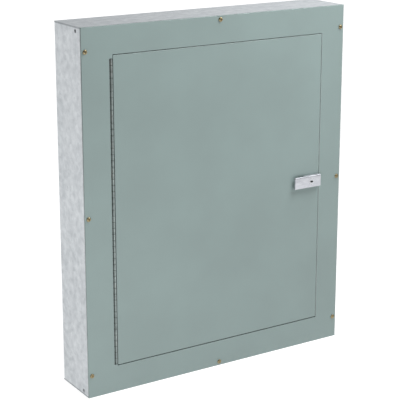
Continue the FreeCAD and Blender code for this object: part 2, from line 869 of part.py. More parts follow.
def board_standoffs():
    """Hexagonal standoffs behind the main board and round spacers before the control board."""
    items = []
    back = board_face + dim.board_thickness
    for index, (x, z) in enumerate(board_hole_places()):
        post = hexagon(f"standoff_{index}_post", (x, back, z), 3.6, dim.standoff)
        thread = rod(f"standoff_{index}_thread", (x, back - 1, z), 1.55, 8)
        items.append(cut(f"standoff_{index}", post, [thread]))
    for index, (x, z) in enumerate(control_hole_places()):
        length = control_board_face - control_back
        items.append(rod(f"control_spacer_{index}", (x, control_back, z), 3, length))
    keep(group("board_standoffs", items), "board_standoffs")


def board_screws():
    """Small screws that hold the main board on its standoffs."""
    items = [
        screw(f"board_screw_{index}", (x, board_face, z), 2.9, 1.5, 6, 1.8)
        for index, (x, z) in enumerate(board_hole_places())
    ]
    keep(group("board_screws", items), "board_screws")


def board_chips():
    """Processor, memory and driver chips of the main board, with their legs as side strips."""
    sizes = [(60, 120, 26, 26), (120, 130, 18, 10), (120, 108, 18, 10), (28, 84, 10, 16), (44, 84, 10, 16)]
    sizes += [(150 + 22 * step, 70, 14, 8) for step in range(4)]
    items = []
    for index, (x, z, width, height) in enumerate(sizes):
        left = dim.board_left + x
        low = dim.board_low + z
        case = block(f"chip_case_{index}", (left, board_face - 3, low), (width, 2.6, height))
        legs = block(f"chip_legs_{index}", (left - 1.6, board_face - 1.2, low + 1), (width + 3.2, 1.2, height - 2))
        items.append(join(f"chip_{index}", [case, legs]))
    keep(group("board_chips", items), "board_chips")


def board_relays():
    """Sealed relays for the alarm, fault and supervisory outputs."""
    items = []
    for index in range(6):
        corner = (dim.board_left + 24 + index * 24, board_face - 15.5, dim.board_low + 38)
        items.append(block(f"relay_{index}", corner, (19, 15.5, 15.5)))
    keep(group("board_relays", items), "board_relays")


def board_capacitors():
    """Electrolytic capacitors of the power supply."""
    items = []
    places = [(186, 186, 9, 30), (210, 186, 9, 30), (232, 190, 6, 20), (186, 158, 6, 20), (204, 160, 5, 12)]
    for index, (x, z, radius, height) in enumerate(places):
        start = (dim.board_left + x, board_face - height, dim.board_low + z)
        items.append(rod(f"capacitor_{index}", start, radius, height))
    keep(group("board_capacitors", items), "board_capacitors")


def heat_sink():
    """Finned aluminium block beside the power devices."""
    left = dim.board_left + 222
    low = dim.board_low + 96
    height = 74
    back = block("sink_back", (left, board_face - 32, low), (4, 32, height))
    fins = [
        block(f"sink_fin_{index}", (left + 4, board_face - 32 + index * 6, low), (16, 1.6, height))
        for index in range(6)
    ]
    keep(join("heat_sink", [back] + fins), "heat_sink")


def zone_terminal_places():
    """Low left corners of the zone terminal blocks, in X and Z."""
    return [(dim.board_left + 18 + index * 48.5, dim.board_low + 3) for index in range(5)]


def zone_terminal_blocks():
    """Screw terminal blocks for the zone and sounder wiring, open to the wires at the bottom."""
    items = []
    for index, (left, low) in enumerate(zone_terminal_places()):
        case = block(f"terminal_case_{index}", (left, board_face - 17, low), (46, 17, 14))
        tools = []
        for way in range(6):
            centre = left + 3.9 + way * 7.64
            hole = (centre, board_face - 18, low + 8)
            tools.append(rod(f"terminal_{index}_{way}_well", hole, 2.6, 6))
            corner = (centre - 2, board_face - 10, low - 1)
            tools.append(block(f"terminal_{index}_{way}_mouth", corner, (4, 5, 7)))
        items.append(cut(f"terminal_block_{index}", case, tools))
    keep(group("zone_terminal_blocks", items), "zone_terminal_blocks")


def mains_terminal_places():
    """Centres of the mains terminal screws, in X and Z."""
    first = dim.mains_left + 20
    return [(first + index * 16.5, dim.mains_low + 13) for index in range(4)]


def terminal_screws():
    """Slotted clamp screws of the zone and mains terminals."""
    items = []
    for block_index, (left, low) in enumerate(zone_terminal_places()):
        for way in range(6):
            name = f"clamp_{block_index}_{way}"
            centre = left + 3.9 + way * 7.64
            head = rod(f"{name}_head", (centre, board_face - 15.5, low + 8), 2.3, 3)
            slot = block(f"{name}_slot", (centre - 2.4, board_face - 16, low + 7.7), (4.8, 1.2, 0.6))
            items.append(cut(name, head, [slot]))
    for way, (x, z) in enumerate(mains_terminal_places()):
        name = f"mains_clamp_{way}"
        face = plate_face - dim.mains_depth
        head = rod(f"{name}_head", (x, face + 1.5, z), 4, 5)
        slot = block(f"{name}_slot", (x - 4.2, face + 1, z - 0.5), (8.4, 1.8, 1))
        items.append(cut(name, head, [slot]))
    keep(group("terminal_screws", items), "terminal_screws")


def fuse_and_clips():
    """Glass battery fuse in two spring clips on the main board."""
    centre_y = board_face - 6
    low = dim.board_low + 150
    left = dim.board_left + 140
    fuse = rod("fuse", (left, centre_y, low), 2.5, 22, "x")
    keep(fuse, "fuse")
    clips = []
    for index, start in enumerate((0.5, 15.5)):
        body = block(f"clip_{index}_body", (left + start, board_face - 8.5, low - 3.6), (6, 8.5, 7.2))
        seat = rod(f"clip_{index}_seat", (left + start - 1, centre_y, low), 2.55, 8, "x")
        mouth = block(f"clip_{index}_mouth", (left + start - 1, board_face - 9, low - 2), (8, 3, 4))
        clips.append(cut(f"clip_{index}", body, [seat, mouth]))
    keep(group("fuse_clips", clips), "fuse_clips")


# ---------------------------------------------------------------- transformer

def transformer():
    """Laminated core, windings on its middle leg, and two mounting feet."""
    x = dim.transformer_x
    z = dim.transformer_z
    half_x = dim.core_width / 2
    half_z = dim.core_height / 2
    core_back = plate_face - 16
    core_front = core_back - dim.core_stack
    outer = block("core_outer", (x - half_x, core_front, z - half_z), (dim.core_width, dim.core_stack, dim.core_height))
    window_height = dim.core_height - 2 * dim.core_leg
    windows = [
        block(
            f"core_window_{side}",
            (x + side * dim.core_leg * 1.5 - dim.core_leg / 2, core_front - 1, z - window_height / 2),
            (dim.core_leg, dim.core_stack + 2, window_height),
        )
        for side in (-1, 1)
    ]
    keep(cut("transformer_core", outer, windows), "transformer_core")
    coil_half = dim.core_leg * 2 - 0.3
    coil_corner = (x - coil_half, core_front - 12, z - window_height / 2 + 0.3)
    coil_sides = (coil_half * 2, dim.core_stack + 24, window_height - 0.6)
    coil = block("coil_outer", coil_corner, coil_sides)
    leg_half = dim.core_leg + 0.3
    leg_corner = (x - leg_half, core_front - 0.3, z - window_height / 2)
    leg = block("coil_leg", leg_corner, (leg_half * 2, dim.core_stack + 0.6, window_height))
    keep(cut("transformer_windings", coil, [leg]), "transformer_windings")
    feet = []
    for side, name in ((-1, "lower"), (1, "upper")):
        edge = z + side * half_z
        leg_low = edge if side > 0 else edge - 1.6
        foot_low = edge if side > 0 else edge - 16
        wide = dim.core_width
        upright = block(f"foot_{name}_upright", (x - half_x, core_front, leg_low), (wide, plate_face - core_front, 1.6))
        base = block(f"foot_{name}_base", (x - half_x, plate_face - 1.6, foot_low), (wide, 1.6, 16))
        holes = [
            rod(f"foot_{name}_hole_{hand}", (x + hand * 26, plate_face - 3, z + side * (half_z + 9)), 2.2, 5)
            for hand in (-1, 1)
        ]
        feet.append(cut(f"foot_{name}", join(f"foot_{name}_solid", [upright, base]), holes))
    keep(group("transformer_feet", feet), "transformer_feet")


# ---------------------------------------------------------------- mains terminals

def mains_cover_axis():
    """Y and Z of the pin that the mains cover swings on."""
    return plate_face - dim.mains_depth - 5, dim.mains_low + dim.mains_height + 3.5


def mains_terminal_base():
    """Moulded base with barriers between its ways and an ear at each end for the cover's pin."""
    left = dim.mains_left
    low = dim.mains_low
    face = plate_face - dim.mains_depth
    axis_y, axis_z = mains_cover_axis()
    case = block("mains_case", (left, face, low), (dim.mains_width, dim.mains_depth, dim.mains_height))
    barriers = [
        block(f"mains_barrier_{way}", (x - 9, face - 2.5, low + 2), (1.5, 3, dim.mains_height - 8))
        for way, (x, z) in enumerate(mains_terminal_places())
    ]
    ears = [
        block(f"mains_ear_{side}", (x, axis_y - 3.5, low + dim.mains_height - 1), (5, -dim.plate_front - axis_y + 3.5, 8))
        for side, x in (("left", left), ("right", left + dim.mains_width - 5))
    ]
    solid = join("mains_solid", [case] + barriers + ears)
    pin_hole = rod("mains_pin_hole", (left - 1, axis_y, axis_z), 1.55, dim.mains_width + 2, "x")
    wells = [
        rod(f"mains_well_{way}", (x, face - 1, z), 4.4, 8)
        for way, (x, z) in enumerate(mains_terminal_places())
    ]
    keep(cut("mains_terminal_base", solid, [pin_hole] + wells), "mains_terminal_base")
    pin = rod("mains_cover_pin", (left, axis_y, axis_z), 1.5, dim.mains_width, "x")
    keep(pin, "mains_cover_pin")


def mains_terminal_cover():
    """Hinged safety cover over the mains terminals."""
    left = dim.mains_left + 5.5
    width = dim.mains_width - 11
    axis_y, axis_z = mains_cover_axis()
    low = dim.mains_low - 3
    knuckle = rod("cover_knuckle", (left, axis_y, axis_z), 3.2, width, "x")
    panel = block("cover_panel", (left, axis_y - 3.2, low), (width, 1.8, axis_z - low))
    lip = block("cover_lip", (left, axis_y - 3.2, low), (width, 7, 1.8))
    bore = rod("cover_bore", (left - 1, axis_y, axis_z), 1.6, width + 2, "x")
    keep(cut("mains_terminal_cover", join("cover_solid", [knuckle, panel, lip]), [bore]), "mains_terminal_cover")


# ---------------------------------------------------------------- control plate

def lamp_places():
    """Two columns of indicator lamps, in X and Z."""
    left = dim.control_left + 26
    top = dim.control_low + dim.control_height - 28
    return [(left + column * 22, top - row * dim.lamp_pitch) for column in range(2) for row in range(6)]


def button_places():
    """Centres of the four push buttons, in X and Z."""
    left = dim.control_left + 122
    return [(left + index * dim.button_pitch, dim.control_low + 30) for index in range(4)]


def display_box():
    """Low corner and size of the display's window, in X and Z."""
    return (dim.control_left + 96, dim.control_low + 72), (130, 40)


def sounder_place():
    """Centre of the sounder, in X and Z."""
    return dim.control_left + dim.control_width - 44, dim.control_low + 94


def control_plate():
    """Plate with the display window, lamp holes, button holes and sounder grille."""
    body = new_body("control_plate")
    front = -dim.control_front
    low = (dim.control_left, dim.control_low)
    high = (dim.control_left + dim.control_width, dim.control_low + dim.control_height)
    pad_box(body, low, high, front, dim.control_thickness)
    corner, sides = display_box()
    window = new_sketch(body, "XZ_Plane", -front)
    rectangle(window, corner, (corner[0] + sides[0], corner[1] + sides[1]))
    pocket(body, window, dim.control_thickness)
    drill(body, lamp_places(), dim.lamp_radius + 0.2, front, dim.control_thickness)
    drill(body, button_places(), dim.button_hole, front, dim.control_thickness)
    x, z = sounder_place()
    grille = [(x + column * 5, z + row * 5) for column in (-1, 0, 1) for row in (-1, 0, 1)]
    drill(body, grille, 1.4, front, dim.control_thickness)
    drill(body, control_screw_places(), 2.2, front, dim.control_thickness)
    keep(body, "control_plate")


def control_screw_places():
    """Screws that hold the control plate on its brackets, in X and Z."""
    columns = [dim.control_left + 6, dim.control_left + dim.control_width - 6]
    rows = [dim.control_low + 24, dim.control_low + dim.control_height - 24]
    return [(x, z) for x in columns for z in rows]


def control_brackets():
    """Two channels that carry the control plate in front of the equipment plate."""
    items = []
    depth = plate_face - control_back
    for side, x in ((1, dim.control_left), (-1, dim.control_left + dim.control_width)):
        name = "left" if side > 0 else "right"
        web_left = x if side > 0 else x - 1.5
        flange_left = x if side > 0 else x - 11
        height = dim.control_height
        web = block(f"bracket_{name}_web", (web_left, control_back, dim.control_low), (1.5, depth, height))
        front = block(f"bracket_{name}_front", (flange_left, control_back, dim.control_low), (11, 1.5, height))
        foot_left = x - 11 if side > 0 else x
        foot = block(f"bracket_{name}_foot", (foot_left, plate_face - 1.5, dim.control_low), (11, 1.5, height))
        solid = join(f"bracket_{name}_solid", [web, front, foot])
        holes = [
            rod(f"bracket_{name}_hole_{index}", (screw_x, control_back - 1, z), 2.2, 4)
            for index, (screw_x, z) in enumerate(control_screw_places())
            if (screw_x.value < 0) == (side > 0)
        ]
        foot_x = x - side * 6
        holes += [
            rod(f"bracket_{name}_foot_hole_{index}", (foot_x, plate_face - 3, dim.control_low + z), 2.2, 4)
            for index, z in enumerate((24, SIZES["control_height"] - 24))
        ]
        items.append(cut(f"bracket_{name}", solid, holes))
    keep(group("control_brackets", items), "control_brackets")


def display():
    """Clear lens behind the plate's window and the display module behind the lens."""
    corner, sides = display_box()
    lens_corner = (corner[0] - 3, control_back, corner[1] - 3)
    keep(block("display_lens", lens_corner, (sides[0] + 6, 1.5, sides[1] + 6)), "display_lens")
    module_front = control_back + 1.8
    depth = control_board_face - module_front
    frame = block("module_frame", (corner[0] - 2, module_front, corner[1] - 6), (sides[0] + 4, depth, sides[1] + 12))
    glass = block("module_recess", (corner[0] + 5, module_front - 1, corner[1] + 5), (sides[0] - 10, 1.8, sides[1] - 10))
    keep(cut("display_module", frame, [glass]), "display_module")


def indicator_lamps():
    """Lamps that shine through the control plate."""
    items = []
    for index, (x, z) in enumerate(lamp_places()):
        front = -dim.control_front - 0.8
        stem = rod(f"lamp_{index}_stem", (x, front, z), dim.lamp_radius, control_board_face - front - 1)
        flange = rod(f"lamp_{index}_flange", (x, control_board_face - 1, z), dim.lamp_radius + 0.5, 1)
        crown = taper(f"lamp_{index}_crown", (x, front - 1.2, z), 1.4, dim.lamp_radius, 1.2)
        items.append(join(f"lamp_{index}", [stem, flange, crown]))
    keep(group("indicator_lamps", items), "indicator_lamps")


def sounder():
    """Round piezo sounder behind the grille."""
    x, z = sounder_place()
    depth = 9
    case = rod("sounder_case", (x, control_board_face - depth, z), 12, depth)
    port = rod("sounder_port", (x, control_board_face - depth - 1, z), 2, 4)
    keep(cut("sounder", case, [port]), "sounder")


def push_buttons():
    """Four push buttons, each with a collar behind the plate, and the switches they press."""
    front = -dim.control_front - 3
    switch_face = control_board_face - 4
    switches = []
    labels = ("acknowledge_button", "silence_button", "reset_button", "drill_button")
    for label, (x, z) in zip(labels, button_places()):
        back = switch_face - 1.7
        cap = rod(f"{label}_cap", (x, front, z), dim.button_radius, back - front)
        collar = rod(f"{label}_collar", (x, control_back + 0.5, z), dim.button_radius + 1.5, 1.5)
        dish = rod(f"{label}_dish", (x, front - 1, z), dim.button_radius - 1.6, 1.5)
        keep(cut(label, join(f"{label}_solid", [cap, collar]), [dish]), label)
        switches.append(block(f"{label}_switch", (x - 6, switch_face, z - 6), (12, 4, 12)))
    keep(group("key_switches", switches), "key_switches")


# ---------------------------------------------------------------- batteries

def battery_lefts():
    """Left edges of the two batteries."""
    return [-dim.battery_gap / 2 - dim.battery_width, dim.battery_gap / 2]


def battery_shelf():
    """Shelf with a front lip and a back flange on the equipment plate."""
    half = dim.battery_width + dim.battery_gap / 2 + 12
    low = dim.shelf_height - 2
    floor = block("shelf_floor", (-half, plate_face - dim.shelf_depth, low), (half * 2, dim.shelf_depth, 2))
    lip = block("shelf_lip", (-half, plate_face - dim.shelf_depth, low), (half * 2, 2, 14))
    back = block("shelf_back", (-half, plate_face - 2, low), (half * 2, 2, 120))
    solid = join("shelf_solid", [floor, lip, back])
    holes = [
        rod(f"shelf_hole_{index}", (x, plate_face - 4, z), 2.2, 5)
        for index, (x, z) in enumerate(shelf_screw_places())
    ]
    keep(cut("battery_shelf", solid, holes), "battery_shelf")


def shelf_screw_places():
    """Screws through the shelf's back flange, in X and Z."""
    return [(side * 100, dim.shelf_height + 110) for side in (-1, 1)]


def batteries():
    """Two sealed batteries and their blade terminals."""
    terminals = []
    back = plate_face - 4
    for name, left in zip(("left_battery", "right_battery"), battery_lefts()):
        front = back - dim.battery_depth
        case = block(f"{name}_case", (left, front, dim.shelf_height), (dim.battery_width, dim.battery_depth, dim.battery_height - 4))
        top = dim.shelf_height + dim.battery_height - 4
        lid = block(f"{name}_lid", (left + 2, front + 2, top), (dim.battery_width - 4, dim.battery_depth - 4, 4))
        keep(join(name, [case, lid]), name)
        for side, offset in (("minus", 9), ("plus", SIZES["battery_width"] - 14)):
            corner = (left + offset, back - 12, top + 4)
            terminals.append(block(f"{name}_{side}", corner, (5, 1, 6.5)))
    keep(group("battery_terminals", terminals), "battery_terminals")


def battery_strap():
    """Strap around the front of both batteries."""
    half = dim.battery_width + dim.battery_gap / 2 + 3
    front = plate_face - 4 - dim.battery_depth - 2.2
    body = new_body("battery_strap")
    sketch = new_sketch(body, "XY_Plane", dim.shelf_height + 44)
    end = plate_face - 2
    outline(sketch, [
        (-half - 9, end), (-half - 9, end - 1.5), (-half - 1.5, end - 1.5), (-half - 1.5, front - 1.5),
        (half + 1.5, front - 1.5), (half + 1.5, end - 1.5), (half + 9, end - 1.5), (half + 9, end),
        (half, end), (half, front), (-half, front), (-half, end),
    ])
    pad(body, sketch, 16)
    keep(body, "battery_strap")


def battery_jumper():
    """Lead between the two batteries, with a blade receptacle at each end."""
    top = SIZES["shelf_height"] + SIZES["battery_height"]
    depth = -(SIZES["plate_front"] + 4 + 11.5)
    start = -SIZES["battery_gap"] / 2 - 14 + 2.5
    end = SIZES["battery_gap"] / 2 + 9 + 2.5
    lift = top + 10
    radius = 9.0
    corner_left = FreeCAD.Vector(start, depth, lift + radius)
    corner_right = FreeCAD.Vector(end, depth, lift + radius)
    swing = radius * (1 - 0.5 ** 0.5)
    rise_left = Part.LineSegment(FreeCAD.Vector(start, depth, lift), corner_left)
    bend_left = Part.Arc(
        corner_left,
        FreeCAD.Vector(start + swing, depth, lift + 2 * radius - swing),
        FreeCAD.Vector(start + radius, depth, lift + 2 * radius),
    )
    level = Part.LineSegment(
        FreeCAD.Vector(start + radius, depth, lift + 2 * radius),
        FreeCAD.Vector(end - radius, depth, lift + 2 * radius),
    )
    bend_right = Part.Arc(
        FreeCAD.Vector(end - radius, depth, lift + 2 * radius),
        FreeCAD.Vector(end - swing, depth, lift + 2 * radius - swing),
        corner_right,
    )
    fall_right = Part.LineSegment(corner_right, FreeCAD.Vector(end, depth, lift))
    path = Part.Wire([piece.toShape() for piece in (rise_left, bend_left, level, bend_right, fall_right)])
    section = Part.Wire(Part.makeCircle(1.6, FreeCAD.Vector(start, depth, lift), FreeCAD.Vector(0, 0, 1)))
    lead = path.makePipeShell([section], True, False)
    sleeves = []
    for x in (start, end):
        sleeve = Part.makeBox(8, 3.4, 9.6, FreeCAD.Vector(x - 4, depth - 1.7, top + 0.6))
        slot = Part.makeBox(5.2, 1.2, 8.2, FreeCAD.Vector(x - 2.6, depth - 0.6, top + 0.4))
        sleeves.append(sleeve.cut(slot))
    item = DOC.addObject("Part::Feature", "battery_jumper")
    item.Shape = Part.makeCompound([lead] + sleeves)
    keep(item, "battery_jumper")


# ---------------------------------------------------------------- fasteners shared by the equipment

def equipment_screws():
    """Equal screws that hold the transformer, control plate, brackets and shelf."""
    transformer_screws = [
        (dim.transformer_x + hand * 26, plate_face - 1.6, dim.transformer_z + side * (dim.core_height / 2 + 9))
        for hand in (-1, 1)
        for side in (-1, 1)
    ]
    plate_screws = [(x, -dim.control_front, z) for x, z in control_screw_places()]
    shelf_screws = [(x, plate_face - 2, z) for x, z in shelf_screw_places()]
    foot_screws = [
        (x, plate_face - 1.5, dim.control_low + z)
        for x in (dim.control_left - 6, dim.control_left + dim.control_width + 6)
        for z in (24, SIZES["control_height"] - 24)
    ]
    items = []
    for index, at in enumerate(plate_screws):
        items.append(screw(f"equipment_screw_{index}", at, 3.8, 2.0, 7, 2.2))
    for index, at in enumerate(transformer_screws + shelf_screws + foot_screws, start=len(items)):
        items.append(screw(f"equipment_screw_{index}", at, 3.8, 2.0, plate_face - at[1], 2.2))
    keep(group("equipment_screws", items), "equipment_screws")


# ---------------------------------------------------------------- document

def build():
    """Make every sub-part."""
    box_shell()
    end_wall("top_end_wall", 1, knockouts=False)
    end_wall("bottom_end_wall", -1, knockouts=True)
    trim_frame()
    trim_screws()
    trim_clip_nuts()
    strike_bracket()
    door_stops()
    hinge_leaf("trim_hinge_leaf", -1, trim_back, 0)
    hinge_leaf("door_hinge_leaf", 1, door_back, 1)
    hinge_pin()
    door_panel()
    card_holder()
    lock_pull()
    lock_barrel()
    lock_nut()
    lock_plug()
    lock_cam()
    cam_screw()
    equipment_plate()
    plate_studs()
    plate_nuts()
    earth_terminal()
    main_circuit_board()
    control_circuit_board()
    board_standoffs()
    board_screws()
    board_chips()
    board_relays()
    board_capacitors()
    heat_sink()
    zone_terminal_blocks()
    terminal_screws()
    fuse_and_clips()
    transformer()
    mains_terminal_base()
    mains_terminal_cover()
    control_plate()
    control_brackets()
    display()
    indicator_lamps()
    sounder()
    push_buttons()
    battery_shelf()
    batteries()
    battery_strap()
    battery_jumper()
    equipment_screws()


def check():
    """Stop if any object of the document failed, or any sub-part is empty or broken."""
    for item in DOC.Objects:
        if {"Invalid", "Error"} & set(item.State):
            raise RuntimeError(f"{item.Name} failed: {item.State}")
    for item in NODES:
        if item.Shape.isNull() or not item.Shape.isValid() or not item.Shape.Solids:
            raise RuntimeError(f"{item.Label} has no valid solid")


def export():
    """Write one STEP file for each sub-part."""
    os.makedirs("parts", exist_ok=True)
    for item in NODES:
        item.Shape.exportStep(f"parts/{item.Label}.step")


build()
DOC.recompute()
check()
export()
print(len(NODES), "nodes written")
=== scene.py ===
"""Looks, light and camera for the wall-mounted fire alarm control panel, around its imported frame.

Lengths are in metres. The origin is the centre of the cabinet's back face, +Z is up and the door
faces -Y.
"""
import json
import math
import random

import bmesh
import bpy
from mathutils import Matrix, Vector


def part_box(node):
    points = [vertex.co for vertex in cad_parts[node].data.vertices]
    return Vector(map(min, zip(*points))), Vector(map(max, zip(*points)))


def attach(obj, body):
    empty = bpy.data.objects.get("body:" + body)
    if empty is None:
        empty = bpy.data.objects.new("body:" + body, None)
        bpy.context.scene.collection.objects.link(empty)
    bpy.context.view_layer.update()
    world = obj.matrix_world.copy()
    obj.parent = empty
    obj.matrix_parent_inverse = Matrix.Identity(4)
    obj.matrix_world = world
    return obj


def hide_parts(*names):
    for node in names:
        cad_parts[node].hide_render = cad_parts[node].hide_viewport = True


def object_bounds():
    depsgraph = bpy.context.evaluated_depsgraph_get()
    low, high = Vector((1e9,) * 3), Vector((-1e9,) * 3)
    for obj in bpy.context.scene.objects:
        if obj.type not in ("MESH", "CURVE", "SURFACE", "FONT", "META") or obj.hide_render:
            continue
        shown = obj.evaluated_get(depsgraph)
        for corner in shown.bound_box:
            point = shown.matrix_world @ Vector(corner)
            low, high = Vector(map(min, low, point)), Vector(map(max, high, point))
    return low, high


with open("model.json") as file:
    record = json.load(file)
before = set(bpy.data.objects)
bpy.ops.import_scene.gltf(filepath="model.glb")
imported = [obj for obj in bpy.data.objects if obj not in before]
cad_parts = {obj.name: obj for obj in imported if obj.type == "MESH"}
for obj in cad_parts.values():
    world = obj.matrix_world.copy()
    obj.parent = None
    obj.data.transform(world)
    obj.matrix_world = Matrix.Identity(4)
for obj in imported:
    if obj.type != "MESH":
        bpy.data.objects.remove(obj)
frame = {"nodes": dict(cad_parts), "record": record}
cad_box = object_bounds()

MM = 0.001
UM = 0.000001

# Camera, seen from the panel's left and a little above, with a small lens shift.
CAMERA_AZIMUTH = math.radians(-32.316)
CAMERA_ELEVATION = math.radians(14.4)
CAMERA_DISTANCE = 2.6664
CAMERA_LEFT = 0.0417
CAMERA_RAISED = 0.0764
CAMERA_LENS = 114.35
CAMERA_SHIFT = -0.1
SENSOR = 36.0

# Surroundings. The sky is brighter as the camera sees it than as light on the panel.
SKY_SEEN = 1.0
SKY_LIGHT = 0.1
FLOOR_HALF = 14.0
FLOOR_CLEARANCE = 0.2 * MM
FLOOR_GLOW = 0.82
FLOOR_DARK = (0.38, 0.38, 0.38, 1)
FLOOR_LIGHT = (0.4, 0.4, 0.4, 1)

# Soft boxes: azimuth and elevation as the panel sees them, distance, side and power in watts.
LIGHTS = [
    ("key", 50, 55, 1.7, 0.8, 29.0),
    ("fill_behind", -120, 30, 2.6, 1.4, 24.0),
    ("low_left", -38, -14, 0.9, 0.15, 0.9),
]
BACKDROP_PLACE = (2.5, 6.0, 3.5)
BACKDROP_SIZE = 8.0
BACKDROP_POWER = 170
BACKDROP_SPREAD = math.radians(130)

# Sizes of the frame's pieces that the looks and finer meshes follow.
DOOR_GAP = 1.2 * MM
GAUGE_HOLE_SETBACK = 20.0 * MM
GAUGE_HOLE_DROP = 7.5 * MM
KNUCKLE_PITCH = 12.7 * MM
PIN_RADIUS = 1.2 * MM
CARD_FRONT = -110.9 * MM
CARD_SHEET = 0.4 * MM
SCREW_TYPES = [
    ("trim_pan_screws", "trim_screws", "yellow_zinc", 2.4 * MM, 2.4 * MM),
    ("equipment_pan_screws", "equipment_screws", "plated_steel", 2.2 * MM, 2.0 * MM),
    ("board_pan_screws", "board_screws", "plated_steel", 1.8 * MM, 1.5 * MM),
]
SCREW_DOME = [(1.0, 0.0), (1.0, 0.28), (0.96, 0.52), (0.86, 0.74), (0.68, 0.9), (0.4, 0.98), (0.0, 1.0)]
LEG_BENDS = [(0.0, 1.4), (0.7, 1.4), (1.0, 0.25), (1.6, 0.25)]
SURFACE_PART_NEIGHBOURS = [
    "board_chips", "board_relays", "board_capacitors", "heat_sink", "fuse_clips",
    "zone_terminal_blocks", "board_screws",
]
SURFACE_PART_TRIES = 260
SURFACE_PART_SEED = 7
SURFACE_PART_GRID = 2.5 * MM


# ---------------------------------------------------------------- wiring a material

def srgb(red, green, blue):
    """Linear colour from three numbers on the usual 0-255 screen scale."""
    values = []
    for value in (red, green, blue):
        share = value / 255
        values.append(share / 12.92 if share <= 0.04045 else ((share + 0.055) / 1.055) ** 2.4)
    return (*values, 1.0)


class Look:
    """A procedural material while its nodes are being wired."""

    def __init__(self, name, **constants):
        self.material = bpy.data.materials.new(name)
        self.material.use_nodes = True
        self.nodes = self.material.node_tree.nodes
        self.links = self.material.node_tree.links
        self.shader = self.nodes["Principled BSDF"]
        self.place = self.nodes.new("ShaderNodeTexCoord").outputs["Object"]
        for word, value in constants.items():
            name = "IOR" if word == "ior" else word.replace("_", " ").title()
            self.shader.inputs[name].default_value = value

    def feed(self, node, values):
        """Set or link a node's inputs by name or number."""
        for socket, value in values.items():
            if isinstance(value, bpy.types.NodeSocket):
                self.links.new(value, node.inputs[socket])
            else:
                node.inputs[socket].default_value = value
        return node

    def spread(self, scale):
        """Coordinates scaled by a different amount along each axis."""
        node = self.nodes.new("ShaderNodeMapping")
        return self.feed(node, {"Vector": self.place, "Scale": scale}).outputs["Vector"]

    def noise(self, scale, detail=2.0, stretch=(1, 1, 1)):
        """Cloudy pattern from 0 to 1; scale is in blotches per metre."""
        node = self.nodes.new("ShaderNodeTexNoise")
        values = {"Vector": self.spread(stretch), "Scale": scale, "Detail": detail}
        return self.feed(node, values).outputs["Fac"]

    def cells(self, scale, output="Color", feature="F1", stretch=(1, 1, 1), randomness=1.0, warp=None):
        """Pattern of cells, such as crystals or pads; scale is in cells per metre."""
        node = self.nodes.new("ShaderNodeTexVoronoi")
        node.feature = feature
        place = warp or self.spread(stretch)
        self.feed(node, {"Vector": place, "Scale": scale, "Randomness": randomness})
        return node.outputs[output]

    def warped(self, scale, amount):
        """Coordinates pushed about by a cloudy pattern, so that cell edges aren't straight."""
        node = self.nodes.new("ShaderNodeTexNoise")
        self.feed(node, {"Vector": self.place, "Scale": scale, "Detail": 2.0})
        push = self.nodes.new("ShaderNodeVectorMath")
        push.operation = "MULTIPLY_ADD"
        self.feed(push, {0: node.outputs["Color"], 1: (amount,) * 3, 2: self.place})
        return push.outputs[0]

    def axis(self, letter):
        """One coordinate, in metres."""
        node = self.nodes.new("ShaderNodeSeparateXYZ")
        return self.feed(node, {"Vector": self.place}).outputs[letter]

    def waves(self, pitch, direction, distortion=0.0):
        """Evenly spaced lines across x, y or z; pitch is their spacing."""
        node = self.nodes.new("ShaderNodeTexWave")
        node.bands_direction = direction
        scale = math.pi / (10 * pitch)
        values = {"Vector": self.place, "Scale": scale, "Distortion": distortion, "Detail Scale": 2.0}
        return self.feed(node, values).outputs["Fac"]

    def sum(self, operation, first, second=0.0):
        """One step of arithmetic."""
        node = self.nodes.new("ShaderNodeMath")
        node.operation = operation
        return self.feed(node, {0: first, 1: second}).outputs[0]

    def square(self, value):
        """A value times itself."""
        return self.sum("POWER", self.sum("ABSOLUTE", value), 2.0)

    def between(self, value, low, high, first, last):
        """Map low..high onto first..last, and hold the ends."""
        node = self.nodes.new("ShaderNodeMapRange")
        return self.feed(node, {0: value, 1: low, 2: high, 3: first, 4: last}).outputs[0]

    def inside(self, value, low, high):
        """1 where a value lies between two limits, and 0 elsewhere."""
        above = self.sum("GREATER_THAN", value, low)
        return self.sum("MULTIPLY", above, self.sum("LESS_THAN", value, high))

    def mix(self, share, first, second):
        """Colour between two colours."""
        node = self.nodes.new("ShaderNodeMix")
        node.data_type = "RGBA"
        return self.feed(node, {0: share, 6: first, 7: second}).outputs[2]

    def bump(self, height, depth, under=None):
        """Normal of a relief of the given depth, on top of another normal."""
        node = self.nodes.new("ShaderNodeBump")
        self.feed(node, {"Height": height, "Distance": depth, "Strength": 1.0})
        if under:
            self.links.new(under, node.inputs["Normal"])
        return node.outputs["Normal"]

    def done(self, colour, roughness=None, normal=None, metallic=None):
        """Link the finished patterns to the shader and return the material."""
        for name, value in (("Base Color", colour), ("Roughness", roughness), ("Normal", normal)):
            if value is not None:
                self.feed(self.shader, {name: value})
        if metallic is not None:
            self.feed(self.shader, {"Metallic": metallic})
        return self.material


# ---------------------------------------------------------------- metals

